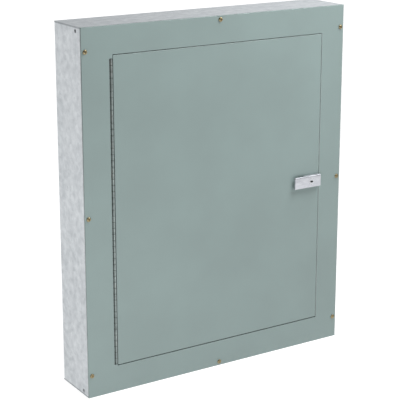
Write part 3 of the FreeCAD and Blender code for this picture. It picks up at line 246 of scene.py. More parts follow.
def galvanised_steel():
    """Zinc-dipped sheet: soft blotches, faint crystals, painted shade along the front corner and round the
    gauge holes, and dark end seams.
    """
    look = Look("galvanised_steel", metallic=0.45)
    low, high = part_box("box_shell")
    grey = look.cells(140, warp=look.warped(90, 0.01))
    clouds = look.noise(60, 5.0)
    patches = look.noise(14, 3.0)
    tone = look.sum("ADD", look.sum("MULTIPLY", grey, 0.16), look.sum("MULTIPLY", clouds, 0.6))
    tone = look.sum("ADD", tone, look.sum("MULTIPLY", patches, 0.24))
    colour = look.mix(look.between(tone, 0.34, 0.68, 0, 1), srgb(187, 192, 196), srgb(216, 220, 223))
    specks = look.noise(900, 2.0)
    colour = look.mix(look.between(specks, 0.6, 0.75, 0, 0.12), colour, srgb(160, 166, 170))
    height = look.axis("Z")
    # Painted shade: a dark band along the side's front corner next to the trim, darker towards the top,
    # standing in for the shadow of the groove there.
    corner_shade_width = 2.4 * MM
    corner = look.between(look.axis("Y"), low.y, low.y + corner_shade_width, 1, 0)
    corner = look.sum("MULTIPLY", corner, look.between(height, low.z, high.z, 0.2, 0.9))
    outside = look.between(look.sum("ABSOLUTE", look.axis("X")), high.x - 0.8 * MM, high.x - 0.5 * MM, 0, 1)
    level = look.sum("ABSOLUTE", height)
    seam = look.sum("MULTIPLY", outside, look.between(level, high.z - 2.0 * MM, high.z - 1.2 * MM, 0, 0.55))
    # The real end seams share this dark colour with the painted shade of the front corner.
    colour = look.mix(look.sum("MAXIMUM", corner, seam), colour, srgb(98, 106, 110))
    # Painted shade: a dark disc round each gauge hole, wider than the hole, painted to enlarge the hole's
    # shade.
    setback = look.sum("SUBTRACT", look.axis("Y"), low.y + GAUGE_HOLE_SETBACK)
    drop = look.sum("SUBTRACT", level, high.z - GAUGE_HOLE_DROP)
    reach = look.sum("ADD", look.square(setback), look.square(drop))
    hole_shade_core = 3.4 * MM
    hole_shade_edge = 4.2 * MM
    painted_hole_shade = look.between(reach, hole_shade_core ** 2, hole_shade_edge ** 2, 0.85, 0)
    painted_hole_shade = look.sum("MULTIPLY", outside, painted_hole_shade)
    colour = look.mix(painted_hole_shade, colour, srgb(60, 66, 70))
    roughness = look.between(tone, 0.3, 0.7, 0.55, 0.42)
    normal = look.bump(grey, 20 * UM, look.bump(specks, 20 * UM))
    return look.done(colour, roughness, normal)


def plain_zinc(name, dark, light, rough, metallic=0.9, scale=260):
    """Zinc-plated small part: fine mottling, scratches and a little relief."""
    look = Look(name, metallic=metallic)
    clouds = look.noise(scale, 4.0)
    scratches = look.noise(180, 3.0, (1, 14, 1))
    tone = look.sum("ADD", look.sum("MULTIPLY", clouds, 0.7), look.sum("MULTIPLY", scratches, 0.3))
    colour = look.mix(look.between(tone, 0.35, 0.65, 0, 1), dark, light)
    roughness = look.between(scratches, 0.3, 0.7, rough - 0.07, rough + 0.09)
    return look.done(colour, roughness, look.bump(clouds, 15 * UM))


def plated_steel():
    """Bright zinc plate of brackets, studs and small screws."""
    return plain_zinc("plated_steel", srgb(158, 163, 168), srgb(205, 209, 212), 0.34)


def hinge_steel():
    """Dull zinc of the continuous hinge, warmer where the coat is thin, with painted shade in the knuckle
    gaps and on both flanks of the barrel in its slot.
    """
    look = Look("hinge_steel", metallic=0.5)
    clouds = look.noise(140, 4.0)
    rubbed = look.noise(60, 3.0, (1, 1, 0.4))
    colour = look.mix(look.between(clouds, 0.35, 0.65, 0, 1), srgb(136, 147, 145), srgb(158, 169, 167))
    colour = look.mix(look.between(rubbed, 0.55, 0.72, 0, 0.4), colour, srgb(160, 152, 146))
    # Painted shade: dark bands at the knuckle joints and on the barrel's flanks beside the trim and the
    # door, standing in for the shade in the hinge's slot.
    from_end = look.sum("SUBTRACT", look.axis("Z"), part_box("trim_hinge_leaf")[0].z)
    from_joint = look.sum("PINGPONG", from_end, KNUCKLE_PITCH / 2)
    joint_core = 0.5 * MM
    joint_edge = 1.3 * MM
    knuckle_gap_shade = look.between(from_joint, joint_core, joint_edge, 0.3, 0)
    across = look.sum("SUBTRACT", look.axis("X"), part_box("hinge_pin")[0].x + PIN_RADIUS)
    trim_side_shade = look.between(across, -1.6 * MM, -0.9 * MM, 0.35, 0)
    door_side_shade = look.between(across, 0.7 * MM, 1.4 * MM, 0, 0.9)
    painted_hinge_shade = look.sum("ADD", knuckle_gap_shade, look.sum("MAXIMUM", trim_side_shade, door_side_shade))
    colour = look.mix(look.sum("MINIMUM", painted_hinge_shade, 1.0), colour, srgb(34, 40, 40))
    return look.done(colour, look.between(rubbed, 0.3, 0.7, 0.5, 0.38), look.bump(clouds, 20 * UM))


def yellow_zinc():
    """Yellow chromate of the trim screws, greener and redder in places."""
    look = Look("yellow_zinc", metallic=0.85)
    hue = look.noise(420, 2.0)
    colour = look.mix(look.between(hue, 0.38, 0.62, 0, 1), srgb(170, 149, 112), srgb(166, 157, 124))
    dull = look.noise(1500, 2.0)
    colour = look.mix(look.between(dull, 0.45, 0.7, 0, 0.6), colour, srgb(92, 82, 66))
    return look.done(colour, look.between(dull, 0.3, 0.7, 0.26, 0.44), look.bump(dull, 10 * UM))


def die_cast_zinc():
    """Cast and linished pull: level brushing, a few pits and painted shade on the top border that tones down
    the light it catches.
    """
    look = Look("die_cast_zinc", metallic=0.6)
    brushing = look.noise(260, 4.0, (0.12, 1, 6))
    patches = look.noise(110, 3.0, (0.5, 1, 1.4))
    tone = look.sum("ADD", look.sum("MULTIPLY", brushing, 0.55), look.sum("MULTIPLY", patches, 0.45))
    colour = look.mix(look.between(tone, 0.36, 0.64, 0, 1), srgb(188, 191, 198), srgb(226, 228, 233))
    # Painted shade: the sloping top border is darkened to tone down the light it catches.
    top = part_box("lock_pull")[1].z
    border = 3.5 * MM
    dull = 2.0 * MM
    painted_top_shade = look.between(look.axis("Z"), top - border, top - dull, 0, 0.45)
    colour = look.mix(painted_top_shade, colour, srgb(150, 153, 160))
    pits = look.cells(700, "Distance")
    normal = look.bump(look.between(pits, 0.0, 0.25, 0, 1), 10 * UM, look.bump(brushing, 30 * UM))
    return look.done(colour, look.between(brushing, 0.3, 0.7, 0.4, 0.54), normal)


def lock_chrome():
    """Satin chrome of the lock, hazed by handling, with painted shade inside the keyway and a keyhole shape
    painted dark on the plug's face.
    """
    look = Look("lock_chrome", metallic=0.9)
    low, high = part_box("lock_plug")
    haze = look.noise(600, 3.0)
    colour = look.mix(look.between(haze, 0.35, 0.65, 0, 1), srgb(188, 191, 196), srgb(222, 224, 228))
    # Painted shade: near-black inside the keyway.
    keyway_shade = look.between(look.axis("Y"), low.y + 0.2 * MM, low.y + 0.6 * MM, 0, 1)
    middles = (("X", (low.x + high.x) / 2), ("Z", 0.0))
    keyway_reaches = (3.8 * MM, 2.2 * MM)
    for (letter, middle), reach in zip(middles, keyway_reaches):
        aside = look.sum("ABSOLUTE", look.sum("SUBTRACT", look.axis(letter), middle))
        keyway_shade = look.sum("MULTIPLY", keyway_shade, look.sum("LESS_THAN", aside, reach))
    colour = look.mix(keyway_shade, colour, srgb(8, 8, 9))
    # Painted shade: a round well and a level slot painted dark on the plug's face as the keyhole's shade.
    from_middle = [look.sum("SUBTRACT", look.axis(letter), middle) for letter, middle in middles]
    round_well = look.sum("ADD", *[look.square(offset) for offset in from_middle])
    well_radius = 2.5 * MM
    slot_half = (3.9 * MM, 1.4 * MM)
    round_well = look.sum("LESS_THAN", round_well, well_radius ** 2)
    along_slot = look.sum("LESS_THAN", look.sum("ABSOLUTE", from_middle[0]), slot_half[0])
    across_slot = look.sum("LESS_THAN", look.sum("ABSOLUTE", from_middle[1]), slot_half[1])
    slot = look.sum("MULTIPLY", along_slot, across_slot)
    rim = look.sum("MULTIPLY", look.sum("MAXIMUM", round_well, slot), 0.85)
    colour = look.mix(rim, colour, srgb(30, 30, 32))
    return look.done(colour, look.between(haze, 0.3, 0.7, 0.2, 0.34), look.bump(haze, 8 * UM))


def aluminium():
    """Extruded heat sink with lines along its length."""
    look = Look("aluminium", metallic=0.9)
    lines = look.noise(240, 3.0, (8, 8, 0.3))
    colour = look.mix(look.between(lines, 0.35, 0.65, 0, 1), srgb(120, 124, 130), srgb(165, 169, 174))
    return look.done(colour, look.between(lines, 0.3, 0.7, 0.36, 0.5), look.bump(lines, 40 * UM))


def core_steel():
    """Varnished stack of laminations, seen as fine lines across its depth."""
    look = Look("core_steel", metallic=0.6)
    sheets = look.waves(0.7 * MM, "Y", 0.4)
    varnish = look.noise(90, 3.0)
    colour = look.mix(look.between(varnish, 0.35, 0.7, 0, 1), srgb(66, 68, 74), srgb(106, 106, 108))
    colour = look.mix(look.between(sheets, 0.0, 0.3, 0.5, 0), colour, srgb(30, 30, 34))
    return look.done(colour, look.between(varnish, 0.3, 0.7, 0.32, 0.5), look.bump(sheets, 60 * UM))


def terminal_brass():
    """Tinned brass blades and clips, browner where the tin is rubbed off."""
    return plain_zinc("terminal_brass", srgb(176, 150, 98), srgb(214, 192, 138), 0.3, 0.95, 420)


# ---------------------------------------------------------------- paint and plastics

def grey_green_paint():
    """Satin baked enamel with orange peel, painted shade along the side edges and in the gaps above and
    below the door, and a painted highlight on the opening's right wall.
    """
    look = Look("grey_green_paint", coat_weight=0.12, coat_roughness=0.18)
    peel = look.noise(420, 3.0)
    clouds = look.noise(7, 3.0)
    colour = look.mix(look.between(clouds, 0.35, 0.65, 0, 1), srgb(137, 154, 152), srgb(141, 159, 157))
    specks = look.noise(2200, 1.0)
    colour = look.mix(look.between(specks, 0.62, 0.8, 0, 0.12), colour, srgb(176, 190, 188))
    low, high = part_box("trim_frame")
    door_low, door_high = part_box("door_panel")
    across = look.axis("X")
    height = look.axis("Z")
    aside = look.sum("ABSOLUTE", across)
    level = look.sum("ABSOLUTE", height)
    # Painted shade: the trim's left and right outer edges darkened, more towards the top, standing in for
    # the shadow between the trim and the galvanised side.
    edge = look.between(aside, high.x - 0.4 * MM, high.x - 0.1 * MM, 0, 1)
    edge = look.sum("MULTIPLY", edge, look.between(height, low.z, high.z, 0.2, 0.9))
    colour = look.mix(edge, colour, srgb(84, 96, 98))
    rim = 0.15 * MM
    # Painted shade: dark bands along the top and bottom gaps round the door, near the front face.
    over_door = look.inside(across, door_low.x - DOOR_GAP, door_high.x + DOOR_GAP)
    painted_gap_shade = look.inside(level, door_high.z - rim, door_high.z + DOOR_GAP + rim)
    painted_gap_shade = look.sum("MULTIPLY", painted_gap_shade, over_door)
    front_depth = 2.5 * MM
    near_front = look.sum("LESS_THAN", look.axis("Y"), low.y + front_depth)
    painted_gap_shade = look.sum("MULTIPLY", painted_gap_shade, look.sum("MULTIPLY", near_front, 0.85))
    colour = look.mix(painted_gap_shade, colour, srgb(62, 72, 74))
    # Painted highlight: the trim's wall right of the door, lightened as if lit in the gap.
    painted_gap_light = look.inside(across, door_high.x + DOOR_GAP - rim, door_high.x + DOOR_GAP + rim)
    painted_gap_light = look.sum("MULTIPLY", painted_gap_light, look.sum("LESS_THAN", level, door_high.z + DOOR_GAP))
    colour = look.mix(look.sum("MULTIPLY", painted_gap_light, 0.8), colour, srgb(214, 224, 222))
    roughness = look.between(look.noise(18, 4.0), 0.3, 0.7, 0.36, 0.46)
    return look.done(colour, roughness, look.bump(peel, 30 * UM))


def red_paint():
    """Red powder coat of the control plate, with the coat's fine grain."""
    look = Look("red_paint", coat_weight=0.1, coat_roughness=0.3)
    grain = look.noise(1100, 3.0)
    clouds = look.noise(22, 3.0)
    colour = look.mix(look.between(clouds, 0.35, 0.65, 0, 1), srgb(158, 28, 24), srgb(174, 36, 30))
    return look.done(colour, look.between(clouds, 0.3, 0.7, 0.38, 0.5), look.bump(grain, 60 * UM))


def moulded(name, dark, light, rough=0.42, grain=1400, depth=30 * UM, **constants):
    """Injection-moulded plastic with a spark-eroded grain and slight flow marks."""
    look = Look(name, **constants)
    texture = look.noise(grain, 2.0)
    flow = look.noise(40, 3.0)
    colour = look.mix(look.between(flow, 0.35, 0.65, 0, 1), dark, light)
    roughness = look.between(flow, 0.3, 0.7, rough - 0.06, rough + 0.08)
    return look.done(colour, roughness, look.bump(texture, depth))


def black_plastic():
    """Black housings."""
    return moulded("black_plastic", srgb(24, 24, 26), srgb(36, 36, 38))


def chip_plastic():
    """Matt epoxy of the chips."""
    return moulded("chip_plastic", srgb(30, 30, 32), srgb(44, 44, 46), 0.55, 2600, 20 * UM)


def relay_plastic():
    """Glossy dark blue relay covers."""
    return moulded("relay_plastic", srgb(18, 44, 108), srgb(26, 56, 126), 0.25, 900, 10 * UM)


def terminal_plastic():
    """Green terminal housings."""
    return moulded("terminal_plastic", srgb(30, 112, 62), srgb(40, 128, 72), 0.4)


def display_plastic():
    """Display module: a dark frame around an unlit screen with two rows of blank character cells."""
    look = Look("display_plastic", coat_weight=0.5, coat_roughness=0.06)
    low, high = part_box("display_module")
    middle = (low + high) / 2
    grain = look.noise(1200, 2.0)
    dark = look.mix(look.between(grain, 0.35, 0.65, 0, 1), srgb(26, 28, 30), srgb(38, 40, 42))
    across = look.sum("SUBTRACT", look.axis("X"), middle.x)
    up = look.sum("SUBTRACT", look.axis("Z"), middle.z)
    screen = 1.0
    half_width = (high.x - low.x) / 2 - 6 * MM
    half_height = (high.z - low.z) / 2 - 5 * MM
    for place, half in ((across, half_width), (up, half_height)):
        inside = look.sum("LESS_THAN", look.sum("ABSOLUTE", place), half)
        screen = look.sum("MULTIPLY", inside, screen)
    half_cell = (2.0 * MM, 4.0 * MM)
    half_gap = (0.25 * MM, 0.4 * MM)
    gap_across = look.sum("LESS_THAN", look.sum("PINGPONG", across, half_cell[0]), half_gap[0])
    gap_up = look.sum("LESS_THAN", look.sum("PINGPONG", up, half_cell[1]), half_gap[1])
    gaps = look.sum("MAXIMUM", gap_across, gap_up)
    green = look.mix(look.noise(30, 2.0), srgb(104, 122, 84), srgb(126, 142, 98))
    cells = look.mix(look.sum("MULTIPLY", gaps, 0.5), green, srgb(146, 160, 116))
    colour = look.mix(screen, dark, cells)
    return look.done(colour, look.between(grain, 0.3, 0.7, 0.26, 0.4), look.bump(grain, 20 * UM))


def button_plastic():
    """Pale grey keys with a satin face."""
    return moulded("button_plastic", srgb(196, 198, 194), srgb(210, 212, 208), 0.35, 1800, 20 * UM)


def card_stock():
    """Blank record card: off-white plastic-coated paper with faint ruled lines."""
    look = Look("card_stock", coat_weight=0.15, coat_roughness=0.3)
    fibres = look.noise(900, 4.0, (1, 1, 0.4))
    paper = look.mix(look.between(fibres, 0.35, 0.65, 0, 1), srgb(222, 222, 214), srgb(236, 236, 230))
    half_line = 4 * MM
    rules = look.between(look.sum("PINGPONG", look.axis("Z"), half_line), 0.15 * MM, 0.25 * MM, 0.6, 0)
    colour = look.mix(rules, paper, srgb(128, 146, 150))
    return look.done(colour, look.between(fibres, 0.3, 0.7, 0.5, 0.65), look.bump(fibres, 20 * UM))


def battery_plastic():
    """Dark grey battery cases with a coarser grain."""
    return moulded("battery_plastic", srgb(52, 54, 58), srgb(66, 68, 72), 0.5, 700, 60 * UM)


def lead_insulation():
    """Red vinyl of the battery lead."""
    return moulded("lead_insulation", srgb(150, 22, 20), srgb(176, 32, 28), 0.36, 500, 20 * UM)


def black_rubber():
    """Dusty rubber bumpers."""
    look = Look("black_rubber", sheen_weight=0.25, sheen_roughness=0.5)
    dust = look.noise(300, 4.0)
    colour = look.mix(look.between(dust, 0.4, 0.75, 0, 1), srgb(26, 26, 27), srgb(64, 63, 61))
    return look.done(colour, look.between(dust, 0.3, 0.7, 0.7, 0.9), look.bump(dust, 80 * UM))


def lamp_plastic():
    """Tinted lamp lenses: red rows at the top, amber in the middle and green at the bottom."""
    look = Look("lamp_plastic", coat_weight=0.6, coat_roughness=0.08, subsurface_weight=0.3)
    height = look.axis("Z")
    bottom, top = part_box("indicator_lamps")
    lamp_size = 5 * MM
    row_steps = 5
    row = (top.z - bottom.z - lamp_size) / row_steps
    red = look.between(height, top.z - 2 * row, top.z - 1.9 * row, 0, 1)
    green = look.between(height, bottom.z + 1.0 * row, bottom.z + 0.9 * row, 0, 1)
    grain = look.noise(900, 2.0)
    colour = look.mix(red, srgb(214, 140, 22), srgb(176, 26, 20))
    colour = look.mix(green, colour, srgb(46, 150, 62))
    colour = look.mix(look.between(grain, 0.4, 0.8, 0, 0.25), colour, srgb(240, 220, 190))
    return look.done(colour, look.between(grain, 0.3, 0.7, 0.12, 0.24), look.bump(grain, 20 * UM))


def clear(name, tint, rough):
    """Clear moulding with faint scuffs."""
    look = Look(name, transmission_weight=0.92, ior=1.49)
    scuffs = look.noise(60, 3.0, (1, 1, 3))
    colour = look.mix(look.between(scuffs, 0.4, 0.7, 0, 1), tint, srgb(245, 247, 247))
    return look.done(colour, look.between(scuffs, 0.5, 0.8, rough, rough + 0.12), look.bump(scuffs, 20 * UM))


def clear_plastic():
    """Clear acrylic of the display lens and of the mains terminal cover."""
    return clear("clear_plastic", srgb(226, 236, 238), 0.06)


def clear_glass():
    """Glass tube of the fuse with a metal cap at each end."""
    look = Look("clear_glass", ior=1.5)
    low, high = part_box("fuse")
    cap = 5 * MM
    along = look.axis("X")
    left = look.between(along, low.x + cap, low.x + 1.02 * cap, 1, 0)
    right = look.between(along, high.x - 1.02 * cap, high.x - cap, 0, 1)
    metal = look.sum("MAXIMUM", left, right)
    haze = look.noise(500, 2.0)
    colour = look.mix(metal, srgb(222, 232, 230), srgb(196, 198, 202))
    glass = look.sum("SUBTRACT", 0.9, look.sum("MULTIPLY", metal, 0.9))
    look.feed(look.shader, {"Transmission Weight": glass})
    return look.done(colour, look.between(haze, 0.3, 0.7, 0.05, 0.2), look.bump(haze, 4 * UM), metal)


def circuit_board():
    """Green solder mask over level and upright copper tracks, with tinned pads in rows."""
    look = Look("circuit_board", coat_weight=0.5, coat_roughness=0.15)
    tracks = []
    tracks_per_metre = 95
    pads_per_metre = 394
    for stretch in ((1, 1, 9), (9, 1, 1)):
        lines = look.cells(tracks_per_metre, "Distance", "DISTANCE_TO_EDGE", stretch)
        tracks.append(look.between(lines, 0.03, 0.06, 1, 0))
    zones = look.between(look.noise(38, 1.0), 0.47, 0.53, 0, 1)
    first = look.sum("MULTIPLY", tracks[0], zones)
    second = look.sum("MULTIPLY", tracks[1], look.sum("SUBTRACT", 1.0, zones))
    copper = look.sum("MAXIMUM", first, second)
    colour = look.mix(copper, srgb(14, 66, 40), srgb(38, 108, 66))
    pads = look.between(look.cells(pads_per_metre, "Distance", randomness=0.0), 0.26, 0.3, 1, 0)
    rows = look.between(look.noise(60, 0.0, (1, 1, 2.4)), 0.6, 0.61, 0, 1)
    pads = look.sum("MULTIPLY", pads, rows)
    colour = look.mix(pads, colour, srgb(190, 192, 190))
    relief = look.sum("ADD", look.sum("MULTIPLY", copper, 0.5), pads)
    roughness = look.between(look.noise(200, 2.0), 0.3, 0.7, 0.24, 0.38)
    return look.done(colour, roughness, look.bump(relief, 40 * UM), look.sum("MULTIPLY", pads, 0.8))


def capacitor_sleeve():
    """Shrunk sleeve of the capacitors, with a bare aluminium top."""
    look = Look("capacitor_sleeve", coat_weight=0.3, coat_roughness=0.2)
    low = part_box("board_capacitors")[0]
    wrinkles = look.noise(300, 3.0)
    colour = look.mix(look.between(wrinkles, 0.35, 0.65, 0, 1), srgb(26, 34, 64), srgb(36, 46, 82))
    front = look.between(look.axis("Y"), low.y + 0.4 * MM, low.y + 0.6 * MM, 1, 0)
    colour = look.mix(front, colour, srgb(186, 188, 190))
    return look.done(colour, look.between(wrinkles, 0.3, 0.7, 0.3, 0.42), look.bump(wrinkles, 30 * UM))


def winding_tape():
    """Yellow polyester tape around the windings, with overlapping turns."""
    look = Look("winding_tape", coat_weight=0.4, coat_roughness=0.12)
    turns = look.waves(4.5 * MM, "Z", 0.6)
    creases = look.noise(120, 3.0)
    colour = look.mix(look.between(creases, 0.35, 0.65, 0, 1), srgb(204, 160, 44), srgb(224, 184, 70))
    colour = look.mix(look.between(turns, 0.85, 1.0, 0, 0.5), colour, srgb(150, 108, 24))
    normal = look.bump(turns, 150 * UM, look.bump(creases, 100 * UM))
    return look.done(colour, look.between(creases, 0.3, 0.7, 0.22, 0.4), normal)


SLOT_LOOKS = [
    galvanised_steel, plated_steel, hinge_steel, yellow_zinc, die_cast_zinc, lock_chrome, aluminium,
    core_steel, terminal_brass, grey_green_paint, red_paint, black_plastic, chip_plastic, relay_plastic,
    terminal_plastic, display_plastic, button_plastic, battery_plastic, lead_insulation, black_rubber,
    lamp_plastic, clear_plastic, clear_glass, circuit_board, capacitor_sleeve, winding_tape,
]


def dress_frame(materials):
    """Give every CAD node the material of its slot in the record."""
    for part in frame["record"]["subparts"]:
        node = frame["nodes"][part["node"]]
        node.data.materials.clear()
        node.data.materials.append(materials[part["material_slot"]])


# ---------------------------------------------------------------- mesh tools

def islands(node):
    """Low and high corners of each separate solid in a CAD node, in a fixed order."""
    bm = bmesh.new()
    bm.from_mesh(frame["nodes"][node].data)
    bmesh.ops.remove_doubles(bm, verts=bm.verts, dist=1e-6)
    found = []
    left = set(bm.verts)
    while left:
        group = {left.pop()}
        edge_of_group = set(group)
        while edge_of_group:
            touching = {edge.other_vert(vert) for vert in edge_of_group for edge in vert.link_edges}
            edge_of_group = touching - group
            group |= edge_of_group
        left -= group
        low = Vector([min(vert.co[axis] for vert in group) for axis in range(3)])
        high = Vector([max(vert.co[axis] for vert in group) for axis in range(3)])
        found.append((low, high))
    bm.free()
    return sorted(found, key=lambda box: tuple(round(value, 5) for value in box[0]))


def add_block(bm, low, high, radius, segments=2):
    """Box with rounded edges."""
    verts = bmesh.ops.create_cube(bm, size=1)["verts"]
    middle = (Vector(low) + Vector(high)) / 2
    sides = Vector(high) - Vector(low)
    bmesh.ops.transform(bm, matrix=Matrix.Translation(middle) @ Matrix.Diagonal((*sides, 1)), verts=verts)
    edges = list({edge for vert in verts for edge in vert.link_edges})
    bmesh.ops.bevel(bm, geom=edges, offset=radius, segments=segments, profile=0.5, affect="EDGES")


def add_turned(bm, profile, place, steps=32):
    """Turned solid: profile is a list of (radius, height) about the local Z of a placing matrix."""
    rings = []
    for radius, height in profile:
        count = steps if radius > 0 else 1
        turns = [2 * math.pi * step / steps for step in range(count)]
        points = [Vector((radius * math.cos(turn), radius * math.sin(turn), height)) for turn in turns]
        rings.append([bm.verts.new(place @ point) for point in points])
    for first, second in zip(rings, rings[1:]):
        for step in range(steps):
            after = (step + 1) % steps
            corners = [first[step % len(first)], first[after % len(first)]]
            corners += [second[after % len(second)], second[step % len(second)]]
            bm.faces.new(list(dict.fromkeys(corners)))


def add_skin(bm, rows):
    """Closed strip over rows of four corners each."""
    for first, second in zip(rows, rows[1:]):
        for index in range(4):
            after = (index + 1) % 4
            bm.faces.new((first[index], first[after], second[after], second[index]))
    bm.faces.new(rows[0])
    bm.faces.new(rows[-1])


def outward(x, y, z, turn=0.0):
    """Placing matrix whose Z points out of the panel, towards -Y."""
    facing = Matrix.Translation((x, y, z)) @ Matrix.Rotation(math.pi / 2, 4, "X")
    return facing @ Matrix.Rotation(turn, 4, "Z")


def add_copy(bm, mesh, place):
    """Add a copy of a mesh at a placing matrix."""
    before = len(bm.verts)
    bm.from_mesh(mesh)
    bm.verts.ensure_lookup_table()
    bmesh.ops.transform(bm, matrix=place, verts=bm.verts[before:])


def loose_object(bm, name):
    """Temporary object that holds a bmesh."""
    bmesh.ops.recalc_face_normals(bm, faces=bm.faces)
    mesh = bpy.data.meshes.new(name)
    bm.to_mesh(mesh)
    bm.free()
    item = bpy.data.objects.new(name, mesh)
    bpy.context.scene.collection.objects.link(item)
    return item


def carved(solid, cutter):
    """Mesh of one bmesh with another cut out of it."""
    body = loose_object(solid, "carved_body")
    tool = loose_object(cutter, "carving_tool")
    modifier = body.modifiers.new("carve", "BOOLEAN")
    modifier.operation = "DIFFERENCE"
    modifier.solver = "EXACT"
    modifier.object = tool
    graph = bpy.context.evaluated_depsgraph_get()
    mesh = bpy.data.meshes.new_from_object(body.evaluated_get(graph))
    for item in (body, tool):
        bpy.data.objects.remove(item)
    return mesh


def finish_piece(name, bm, body, slot, replaced=(), sharp=35, material=None):
    """Turn a bmesh in the frame's coordinates into a named piece that rides on a body."""
    piece = loose_object(bm, name)
    piece.data.shade_smooth()
    piece.data.set_sharp_from_angle(angle=math.radians(sharp))
    piece.data.materials.append(material or materials[slot])
    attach(piece, body)
    if replaced:
        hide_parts(*replaced)
    return piece


# ---------------------------------------------------------------- screws

def cross_outline(arm, half):
    """Twelve corners of a cross."""
    quarter = [(half, half), (half, arm), (-half, arm)]
    turns = [Matrix.Rotation(math.pi / 2 * step, 2) for step in range(4)]
    return [turn @ Vector(point) for turn in turns for point in quarter]


def add_cross(bm, head, height):
    """Tapered cross that cuts a screw's recess."""
    mouth = cross_outline(head * 0.56, head * 0.13)
    floor = cross_outline(head * 0.3, head * 0.08)
    top = [bm.verts.new((*point, height * 1.2)) for point in mouth]
    low = [bm.verts.new((*point, height * 0.2)) for point in floor]
    bm.faces.new(top)
    bm.faces.new(low)
    for index in range(len(top)):
        after = (index + 1) % len(top)
        bm.faces.new((top[index], top[after], low[after], low[index]))


def screw_mesh(head, height, shank, length):
    """Pan-head screw with a cross recess, its seat at the origin and its head towards +Z."""
    solid = bmesh.new()
    dome = [(head * across, height * up) for across, up in SCREW_DOME]
    point = [(0.0, -length), (shank * 0.7, -length), (shank, shank * 0.4 - length), (shank, 0.0)]
    profile = point + dome
    add_turned(solid, profile, Matrix.Identity(4))
    cutter = bmesh.new()
    add_cross(cutter, head, height)
    return carved(solid, cutter)


def screw_set(name, node, slot, height, shank):
    """Detailed screws in the places of a CAD node's screws, each turned its own way."""
    spin = random.Random(node)
    boxes = islands(node)
    low, high = boxes[0]
    head = (high.x - low.x) / 2
    bm = bmesh.new()
    for low, high in boxes:
        mesh = screw_mesh(head, height, shank, high.y - low.y - height)
        middle = (low + high) / 2
        add_copy(bm, mesh, outward(middle.x, low.y + height, middle.z, spin.uniform(0, math.pi / 2)))
    finish_piece(name, bm, "cabinet", slot, [node])


def add_screws():
    """All cross-recess screws: trim, equipment and main board."""
    for name, node, slot, height, shank in SCREW_TYPES:
        screw_set(name, node, slot, height, shank)


# ---------------------------------------------------------------- pull and record card

def pull_section(low, high):
    """Outline of the pull in Y and Z: a flat face between two sloping borders and a rounded rim."""
    border = 3.4 * MM
    slope = 0.6 * MM
    rim = 0.6 * MM
    upper = [
        (high.y, high.z), (low.y + slope + rim, high.z), (low.y + slope, high.z - rim),
        (low.y, high.z - border),
    ]
    middle = (low.z + high.z) / 2
    lower = [(y, 2 * middle - z) for y, z in reversed(upper)]
    return upper + lower


def add_slab(bm, section, left, right):
    """Solid with a Y-Z outline between two X planes."""
    ends = [[bm.verts.new((x, y, z)) for y, z in section] for x in (left, right)]
    for end in ends:
        bm.faces.new(end)
    for index in range(len(section)):
        after = (index + 1) % len(section)
        bm.faces.new((ends[0][index], ends[0][after], ends[1][after], ends[1][index]))


def add_pull():
    """Cast pull with sloping borders, a finger lip at its left and the hole for the lock."""
    low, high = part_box("lock_pull")
    barrel_low, barrel_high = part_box("lock_barrel")
    centre = (barrel_low + barrel_high) / 2
    bore = (barrel_high.x - barrel_low.x) / 2
    bm = bmesh.new()
    add_slab(bm, pull_section(low, high), low.x, high.x)
    bmesh.ops.recalc_face_normals(bm, faces=bm.faces)
    near = MM / 10
    ends = []
    for side in (low.x, high.x):
        ends += [edge for edge in bm.edges if all(abs(vert.co.x - side) < near for vert in edge.verts)]
    front_ends = [edge for edge in ends if all(vert.co.y < high.y - MM for vert in edge.verts)]
    bmesh.ops.bevel(bm, geom=front_ends, offset=0.5 * MM, segments=2, profile=0.5, affect="EDGES")
    tools = bmesh.new()
    lip = 28 * MM
    thickness = 3.5 * MM
    hollow_low = (low.x - lip, low.y + thickness, low.z - MM)
    hollow_high = (low.x + lip, high.y + 3 * MM, high.z + MM)
    add_block(tools, hollow_low, hollow_high, 2 * MM, 3)
    depth = 20 * MM
    bit = [(0, -depth), (bore, -depth), (bore, depth), (0, depth)]
    add_turned(tools, bit, outward(centre.x, low.y, centre.z), 48)
    mesh = carved(bm, tools)
    finished = bmesh.new()
    finished.from_mesh(mesh)
    finish_piece("pull_casting", finished, "door", "die_cast_zinc", ["lock_pull"], 20)


def add_record_card():
    """Blank card in the three-sided holder on the back of the door, slightly bowed between its edges."""
    low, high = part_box("card_holder")
    edge = 1.5 * MM
    left = low.x + edge
    right = high.x - edge
    bottom = low.z + edge
    top = high.z - edge
    bow = 0.6 * MM
    steps = 16
    bm = bmesh.new()
    rows = []
    for step in range(steps + 1):
        share = step / steps
        y = CARD_FRONT + bow * math.sin(math.pi * share)
        x = left + (right - left) * share
        corners = ((x, y, bottom), (x, y, top), (x, y + CARD_SHEET, top), (x, y + CARD_SHEET, bottom))
        rows.append([bm.verts.new(corner) for corner in corners])
    add_skin(bm, rows)
    finish_piece("record_card", bm, "door", "button_plastic", material=card_stock())


# ---------------------------------------------------------------- equipment details

def add_chips():
    """Chips with a moulded case and separate bent legs."""
    cases = bmesh.new()
    legs = bmesh.new()
    reach = 1.6 * MM
    pitch = 1.27 * MM
    for low, high in islands("board_chips"):
        case_low = Vector((low.x + reach, low.y, low.z))
        case_high = Vector((high.x - reach, high.y - 0.4 * MM, high.z))
        add_block(cases, case_low, case_high, 0.25 * MM)
        count = int((high.z - low.z - 2 * MM) / pitch)
        start = (low.z + high.z) / 2 - (count - 1) * pitch / 2
        for index in range(count):
            centre = start + index * pitch
            for side, edge in ((-1, case_low.x), (1, case_high.x)):
                add_leg(legs, edge, side, centre, high.y)
    finish_piece("chip_cases", cases, "cabinet", "chip_plastic", ["board_chips"])
    finish_piece("chip_legs", legs, "cabinet", "plated_steel")


